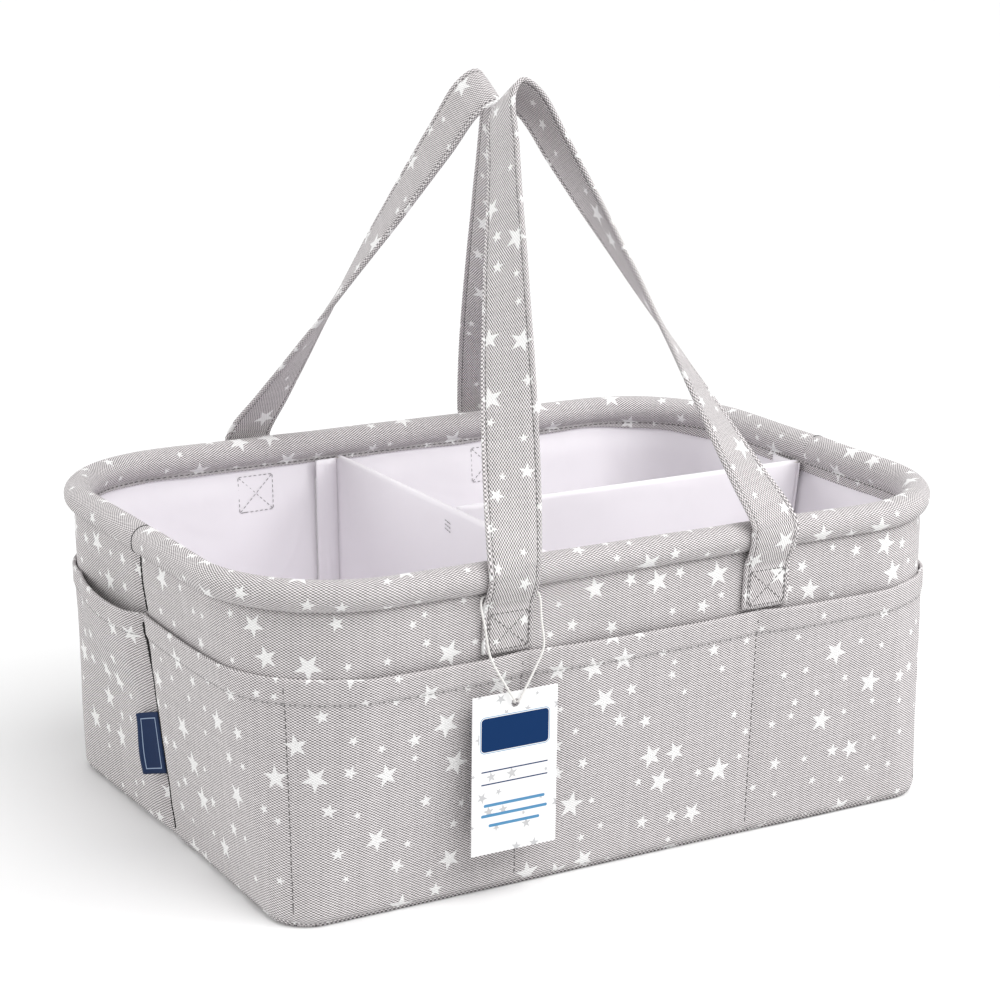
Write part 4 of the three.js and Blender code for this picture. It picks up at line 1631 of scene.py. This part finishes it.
@dataclass
class WhiteLining(WallCloth):
    """White cloth inside: two halves of the wall and the floor."""

    columns: int = 190
    rows: int = 44
    foot: float = 0.0049
    top: float = 0.1396
    thickness: float = 0.0005
    face: float = 0.0051
    hem_foot: float = 0.1346
    tape_x: float = -0.036
    box_middle: float = -0.0045
    box_x: float = 0.06725
    box_half: float = 0.0095
    box_low: float = 0.1148
    box_high: float = 0.1328

    def depth(self, run: float, z: float, side: Side) -> float:
        """Return how deep the lining's face lies at a place.

        Args:
            run: length along the rim.
            z: the height.
            side: the half.

        Returns:
            The depth, with soft folds that keep off the tapes.
        """
        x = run - FORM.half_run / 2
        calm = smooth((abs(x - self.tape_x) - 0.015) / 0.03) * smooth((FORM.half_run - run - 0.022) / 0.03)
        fold = 0.5 + 0.5 * uneven(run * 15, z * 7, 4 + side.value) + 0.3 * uneven(run * 42, z * 20, 8)
        fold *= smooth((z - self.foot) / 0.02)
        drawn = uneven(run * 120, z * 16, 13) * smooth((z - 0.108) / 0.02)
        sewn = hump(abs(x - self.box_middle) - self.box_x, 0.013) * hump(z - 0.124, 0.013)
        ridge = 0.0009 * hump(seam_distance(run), 0.006)
        slack = 0.0018 * max(fold, 0.0) * (1 - 0.8 * sewn) + 0.0006 * drawn * (1 - sewn) + 0.0004
        return self.face + (ridge + calm * slack) * smooth((self.hem_foot - z) / 0.011)

    def build_half(self, side: Side) -> None:
        """Build one half of the lining's wall, with the boxes sewn through it for the handles.

        Args:
            side: the half.
        """
        runs = even_runs(self.columns, 0.0, FORM.half_run)
        wall = self.lay("lining_wall", side, runs, lambda run, z: (run, z), side is Side.FRONT)
        nodes = (f"lining_{side.word}",)
        settle(wall, self.wardrobe.lining, Slot.LINING, nodes, cloth=self.thickness)
        self.flat()
        thread = Seamwork(0.0026, 0.0019, 0.0005)
        for x in (-self.box_x, self.box_x):
            run = FORM.run_at(self.box_middle + x)

            def corner(across: float, up: float) -> Vector:
                """Return a corner of the sewn box."""
                z = mix(self.box_low, self.box_high, (up + 1) / 2)
                return self.at(run + self.box_half * across, z, side, -0.0002)

            thread.sew_box(corner, FORM.inward)
        thread.fasten(f"lining_stitches_{side.word}", self.wardrobe.white_thread, Slot.LINING)

    def build(self) -> None:
        """Build the wall's halves and the floor."""
        for side in Side:
            self.build_half(side)
        sheet = PlanSheet(0.0046, 0.0052, lambda x, y: 0.0003 * uneven(x * 14, y * 14, 3))
        floor = sheet.lay("lining_bottom")
        settle(floor, self.wardrobe.lining, Slot.LINING, ("lining_floor",), cloth=self.thickness / 2)
        sheet.flat()


class Strip(Enum):
    """Strips between a divider and the wall: depth of the face that shows, thickness and unevenness."""

    FLAP = (0.0083, 0.0007, 0.0003)
    HOOK = (0.0073, 0.0008, 0.0)
    LOOP = (0.0062, 0.0008, 0.0)


@dataclass
class DividerInsert(Handiwork):
    """T-shaped insert: a cross panel, a long panel sewn to it, and flaps that stick to the walls."""

    cross_x: float = -0.026
    half: float = 0.0022
    foot: float = 0.0054
    top: float = 0.139
    panel_depth: float = 0.0086
    swing_room: float = 0.0006
    sewn_half: float = 0.0009
    sewn_taper: float = 0.008
    sewn_gap: float = 0.00045
    edge_share: float = 0.72
    flap_edge: float = -0.0392
    flap_top: float = 0.1374
    tape_inset: float = 0.0007
    strip_cells: tuple[int, int] = (12, 44)
    tack_heights: Triple = (0.1315, 0.1295, 0.1275)
    tack_half: float = 0.0028

    def ring(self) -> list[Triple]:
        """Return the cover's outline as side share, height and length of cloth."""
        shoulder = self.top - self.half
        points = [(-1.0, z) for z in levels(self.foot, shoulder, 26)]
        for turn in levels(0.0, math.pi, 8)[1:-1]:
            points.append((-math.cos(turn), shoulder + self.half * math.sin(turn)))
        points += [(1.0, z) for z in levels(shoulder, self.foot, 26)]
        points.append(points[0])
        lengths = running([(across * self.half, z) for across, z in points])
        return [(*place, length) for place, length in zip(points, lengths)]

    def bulge(self, along: float, z: float, across: float, seed: float) -> float:
        """Return the soft unevenness of a cover at a place.

        Args:
            along: place along the panel.
            z: the height.
            across: the side, -1 to 1.
            seed: a number that tells one panel from another.

        Returns:
            How far the cloth lies inside its full thickness.
        """
        place = Vector((along * 16, z * 12, seed + 2.5 * across))
        fold = 0.5 + 0.5 * noise.noise(place) + 0.25 * noise.noise(place * 3.1)
        return 0.0005 * min(max(fold, 0.0), 1.0) * abs(across)

    def cross_place(self, share: float, across: float, z: float) -> Vector:
        """Return a place on the cross panel's cover, at a share of its length."""
        off = 2 * share - 1
        y = off * FORM.wall_y(z, self.panel_depth)
        thin = mix(self.edge_share, 1.0, smooth((1 - abs(off)) / 0.06))
        side = across * (self.half * thin - self.bulge(y, z, across, 1.0) * thin)
        return Vector((self.cross_x + side, y, z))

    def long_place(self, share: float, across: float, z: float) -> Vector:
        """Return a place on the long panel's cover, which is pressed thin at its sewn edge."""
        start = self.cross_x + self.half + self.sewn_gap
        end = FORM.end_x(z, self.panel_depth + self.swing_room)
        x = mix(start, end, mix(share, smooth(share), 0.3))
        half = mix(self.sewn_half, self.half, smooth((x - start) / self.sewn_taper))
        thin = mix(self.edge_share, 1.0, smooth((end - x) / 0.008))
        half = half * thin - self.bulge(x, z, across, 6.0) * smooth((x - start) / 0.02) * thin
        return Vector((x, across * half, z))

    def build_panels(self) -> None:
        """Build the covers of both panels and the stitches that tack the long one on."""
        ring = self.ring()
        panels = (
            ("cross", 70, self.cross_place, (0.23, 0.0), Body.CADDY),
            ("long", 80, self.long_place, (0.19, 1.0), Body.LONG_DIVIDER),
        )
        for stem, columns, place, (length, shift), body in panels:
            panel = cloth_piece(
                f"{stem}_panel",
                columns,
                len(ring) - 1,
                lambda i, j: place(i / columns, *ring[j][:2]),
                lambda i, j: (i / columns * length + shift, ring[j][2]),
                tube=True,
            )
            settle(panel, self.wardrobe.lining, Slot.LINING, (f"{stem}_divider_cover",), body)
        thread = Seamwork(0.002, 0.0018, 0.0005)
        x = self.cross_x - self.half - 0.0001
        for z in self.tack_heights:
            ends = [Vector((x, -self.tack_half, z)), Vector((x, self.tack_half, z + 0.0012))]
            thread.sew(ends, lambda _at, _share: Vector((-1, 0, 0)))
        thread.fasten("divider_tack", self.wardrobe.white_thread, Slot.LINING)

    def wall_strip(self, name: str, node: str, strip: Strip, side: Side | None) -> Piece:
        """Build a strip that lies against the lining in place of a node.

        Args:
            name: the piece's name.
            node: the model's solid that it stands for.
            strip: what kind of strip it is.
            side: the long wall that it lies on, or none for the right end.

        Returns:
            The new piece.
        """
        low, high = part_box(node)
        depth, _, relief = strip.value
        columns, rows = self.strip_cells
        loose = strip is Strip.FLAP and side is not None
        if strip is Strip.FLAP:
            high.z = self.flap_top
        if loose:
            high.x = self.cross_x
        if side is not None:
            low.x = max(low.x, self.flap_edge + (0.0 if loose else self.tape_inset))
        width = high.y - low.y if side is None else high.x - low.x

        def place(i: int, j: int) -> Vector:
            """Return where a point of the strip goes."""
            z = mix(low.z, high.z, j / rows)
            lift = relief * (0.5 + 0.5 * uneven(i * 0.35, z * 60, depth * 900))
            if loose:
                lift -= 0.001 * (1 - i / columns) ** 3
                lift -= 0.0009 * max(0.0, uneven(i * 0.55 + z * 75, z * 30 - i * 0.1, 5))
            if side is None:
                return Vector((FORM.end_x(z, depth - lift), mix(high.y, low.y, i / columns), z))
            return FORM.point(FORM.run_at(mix(low.x, high.x, i / columns)), z, depth - lift, side)

        def cut(i: int, j: int) -> Pair:
            """Return where that point lies on the flat cloth."""
            return i / columns * width, high.z * j / rows

        made = cloth_piece(name, columns, rows, place, cut, side is not Side.BACK)
        return made

    def build(self) -> None:
        """Build the panels, and the three flaps with their hook and loop tapes."""
        self.build_panels()
        walls = (("cross", "_front", Side.FRONT), ("cross", "_back", Side.BACK), ("long", "", None))
        for stem, ending, side in walls:
            moving = Body.LONG_DIVIDER if stem == "long" else Body.CADDY
            flap, lining, tape = f"{stem}_divider_flap{ending}", self.wardrobe.lining, self.wardrobe.tape
            layers = [(f"{stem}_flap{ending}", flap, Strip.FLAP, lining, Slot.LINING, moving)]
            for strip, body in ((Strip.HOOK, moving), (Strip.LOOP, Body.CADDY)):
                start = f"{stem}_{strip.name.lower()}"
                layers.append((f"{start}_strip{ending}", f"{start}_tape{ending}", strip, tape, Slot.TAPE, body))
            for name, node, strip, material, slot, body in layers:
                made = self.wall_strip(name, node, strip, side)
                settle(made, material, slot, (node,), body, strip.value[1])


@dataclass
class StrapHandle(Handiwork):
    """Strap handle: sewn flat on the wall at both ends, a quarter turn in each leg, bent over at the top."""

    side: Side
    width: float = 0.025
    thickness: float = 0.0022
    spread: float = 0.1345
    centre: float = -0.00275
    sewn_foot: float = 0.1105
    sewn_top: float = 0.1309
    sewn_between: Pair = (0.1175, 0.1245)
    box_half: float = 0.0095
    fit: float = 0.0003
    rim_pass: float = 0.0058
    rim_top: float = 0.1514
    top: float = 0.334
    setback: float = 0.0122
    bow: float = 0.001
    apex_half: float = 0.00532
    ease: float = 1.45
    stations: int = 260
    edge: float = 0.0023
    rounding: float = 0.0009
    roll: Pair = (9.1, 10.4)

    @property
    def lean(self) -> float:
        """Angle from upright at which the legs lean in."""
        pass_y = FORM.wall_y(FORM.rim_height, -self.rim_pass)
        return math.atan2(pass_y - self.setback, self.top - self.rim_top)

    def leg(self, hand: float) -> list[Vector]:
        """Lay out one leg from its sewn end to the top.

        Args:
            hand: -1 for the left leg and 1 for the right one.

        Returns:
            Places along the middle of the strap, for the front handle.
        """
        half, middle = self.spread / 2, -self.fit - self.thickness / 2
        on_wall = [(-FORM.wall_y(z, middle), z) for z in (self.sewn_foot, *self.sewn_between)]
        leaves = -FORM.wall_y(self.sewn_top, middle)
        beside = -FORM.wall_y(FORM.rim_height, -self.rim_pass)
        foot = [
            *on_wall,
            (leaves, self.sewn_top + self.fit),
            (leaves, self.sewn_top + self.fit + self.thickness / 2),
            (mix(leaves, beside, 0.62), mix(self.sewn_top, FORM.rim_height, 0.5)),
            (beside, FORM.rim_height),
            (beside + self.fit, self.rim_top),
        ]
        points = [(half, y, z) for y, z in foot]
        for share in (0.12, 0.3, 0.5, 0.7, 0.86, 0.97):
            z = mix(self.rim_top, self.top, share)
            x = mix(half, self.apex_half, share) + self.bow * math.sin(math.pi * share)
            points.append((x, beside + math.tan(self.lean) * (z - self.rim_top), z))
        return [Vector((self.centre + hand * x, y, z)) for x, y, z in points]

    def path(self) -> list[Station]:
        """Walk along the strap.

        Returns:
            Middle, direction, facing and length so far at each station, for the front handle.
        """
        apex = Vector((self.centre, -self.setback, self.top))
        line = flowing_line([*self.leg(-1), apex, *reversed(self.leg(1))], 40)
        length = line_length(line)
        steps = spaced(line, length / self.stations)
        start = self.sewn_top + self.fit - self.sewn_foot
        free = length - 2 * start
        straight = (self.rim_top - self.sewn_top) / free
        lean = Vector((0.0, -math.cos(self.lean), math.sin(self.lean)))
        walked = []
        for index, (middle, along) in enumerate(steps):
            at = (index + 0.5) / len(steps) * length
            share = min(max((at - start) / free, 0.0), 1.0)
            facing = (lean - along * lean.dot(along)).normalized()
            climb = min(max((min(share, 1 - share) - straight) / (0.5 - straight), 0.0), 1.0)
            turn = math.pi / 2 * (1 - (1 - climb) ** self.ease)
            walked.append((middle, along, facing * math.cos(turn) + facing.cross(along) * math.sin(turn), at))
        return walked

    def ring(self) -> list[Pair]:
        """Return the strap's outline across its width: place across and place off its middle."""
        half, thick = self.width / 2, self.thickness / 2
        sewn, flat = half - self.edge, half - self.rounding
        across = [flat, sewn + 0.0007, sewn, sewn - 0.0007, sewn - 0.0022, 0.0055, 0.002]
        outline = []
        for place in [-item for item in across] + across[::-1]:
            groove = 0.0006 * hump(abs(place) - sewn, 0.0007)
            crown = 0.00012 * (1 - (place / half) ** 2)
            outline.append((place, thick + crown - groove))
        for turn in map(math.radians, (35, 65, 90, 115, 145)):
            outline.append((flat + self.rounding * math.sin(turn), thick * math.cos(turn)))
        return [*outline, *((-x, -off) for x, off in outline), outline[0]]

    def locate(self, station: Station, across: float, off: float) -> Vector:
        """Find a place on the strap.

        Args:
            station: middle, direction, facing and length along it.
            across: distance from the strap's middle line.
            off: distance from its middle layer.

        Returns:
            The place, on this handle's side.
        """
        middle, along, facing, at = station
        soft = 0.00025 * uneven(at * 40, across * 60, 3 + self.side.value)
        point = middle + along.cross(facing) * across + facing * (off + soft)
        return Vector((point.x, -point.y * self.side.value, point.z))

    def build(self) -> None:
        """Build the strap and its stitches."""
        path, ring, word = self.path(), self.ring(), self.side.word
        girth, shift = running(ring), self.side.pick(*self.roll)
        strap = cloth_piece(
            f"strap_{word}",
            len(path) - 1,
            len(ring) - 1,
            lambda i, j: self.locate(path[i], *ring[j]),
            lambda i, j: (path[i][3] + shift, girth[j]),
            tube=True,
        )
        self.bend(strap, self.wardrobe.canvas)
        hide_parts(f"handle_strap_{word}", f"handle_end_left_{word}", f"handle_end_right_{word}")
        self.bend(self.sew(path), self.wardrobe.thread)

    def bend(self, piece: Piece, material: Finish) -> None:
        """Dress a piece and bake its placement into its mesh.

        Args:
            piece: the piece.
            material: its finish.
        """
        body = Body.FRONT_HANDLE if self.side is Side.FRONT else Body.BACK_HANDLE
        piece.data.materials.append(material)
        y = self.side.value * FORM.wall_y(self.sewn_top, 0.0)
        start, end = (0, y, self.sewn_top - 0.0012), (0, y, self.sewn_top + 0.0062)
        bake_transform(piece)
        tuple(start)
        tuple(end)
        LOG.info("%s bends between caddy and %s", piece.name, body.value)

    def sew(self, path: list[Station]) -> Piece:
        """Sew both edges and the boxes at the ends.

        Args:
            path: stations along the strap.

        Returns:
            The thread.
        """
        thread = Seamwork(0.0025, 0.0019, 0.0005)
        sewn, thick, inner = self.width / 2 - self.edge, self.thickness / 2, path[1:-1]
        for layer in (1, -1):
            turns = [layer * Vector((step[2].x, -step[2].y * self.side.value, step[2].z)) for step in inner]
            for hand in (-1, 1):
                line = [self.locate(step, hand * sewn, layer * (thick - 0.0004)) for step in inner]
                thread.sew(line, lambda _at, share: turns[round(share * (len(turns) - 1))])
        for hand in (-1, 1):

            def corner(across: float, up: float) -> Vector:
                """Return a corner of the sewn box."""
                z = mix(self.sewn_foot + 0.0025, self.sewn_top - 0.0018, (up + 1) / 2)
                y = FORM.wall_y(z, -self.fit - self.thickness - 0.0001)
                x = self.centre + hand * self.spread / 2 + across * self.box_half
                return Vector((x, self.side.value * y, z))

            thread.sew_box(corner)
        return thread.piece(f"strap_stitches_{self.side.word}")


@dataclass
class SideLabel(Handiwork):
    """Folded tab of woven tape in the left end seam."""

    width: float = 0.015
    height: float = 0.030
    middle: float = 0.0474
    droop: float = 0.004
    lean: float = 20.0
    curl: float = 14.0
    stand: float = 0.0012
    thickness: float = 0.0009
    cells: tuple[int, int] = (12, 16)

    def build(self) -> None:
        """Build the tab, curling back over the pocket."""
        columns, rows = self.cells
        size = self.width / columns
        steps = [(0.0, 0.0)]
        for i in range(columns):
            turn = math.radians(self.lean + self.curl * (i / columns - 0.2))
            steps.append((steps[-1][0] - math.sin(turn) * size, steps[-1][1] + math.cos(turn) * size))

        def place(i: int, j: int) -> Vector:
            """Return where a point of the tab goes."""
            z = self.middle + self.height * (j / rows - 0.5) - self.droop * i / columns
            wave = 0.0004 * (i / columns) ** 2 * math.sin(5 * j / rows)
            x = -FORM.end_x(z, -self.stand)
            return Vector((x + steps[i][0] - wave, steps[i][1] + wave, z))

        def cut(i: int, j: int) -> Pair:
            """Return where that point lies on the flat tape."""
            return i / columns * self.width, j / rows * self.height

        tab = cloth_piece("label_tab", columns, rows, place, cut, flip=True)
        settle(tab, self.wardrobe.label, Slot.LABEL, ("side_label",), cloth=self.thickness)


@dataclass
class HiddenStiffening(Handiwork):
    """Foam ropes and boards that stay as the model has them, inside the cloth."""

    ropes: tuple[str, ...] = ("rim_core_front", "rim_core_back")
    boards: tuple[str, ...] = ("base_board", "cross_divider_board", "long_divider_board")

    def build(self) -> None:
        """Give the foam and the boards their finish."""
        for names, material in ((self.ropes, self.wardrobe.foam), (self.boards, self.wardrobe.board)):
            for name in names:
                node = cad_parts[name]
                node.data.materials.clear()
                node.data.materials.append(material)
                LOG.info("%s keeps its solid", name)


def write_sizes() -> None:
    """Gather the model's box and the dressed caddy's box side by side."""
    boxes = {"cad": CAD_BOX, "visual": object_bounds()}
    {key: [list(corner) for corner in box] for key, box in boxes.items()}


def main() -> None:
    """Build the caddy piece by piece."""
    logging.basicConfig(level=logging.INFO, format="%(name)s: %(message)s")
    studio = Studio()
    studio.place_camera()
    wardrobe = Wardrobe.make()
    HangTag(wardrobe).build()
    CanvasShell(wardrobe).build()
    for side in Side:
        PocketBand(wardrobe, side).build()
    PaddedRim(wardrobe).build()
    WhiteLining(wardrobe).build()
    DividerInsert(wardrobe).build()
    for side in Side:
        StrapHandle(wardrobe, side).build()
    SideLabel(wardrobe).build()
    HiddenStiffening(wardrobe).build()
    studio.lay_floor()
    studio.light()
    write_sizes()


if __name__ == "__main__":
    main()
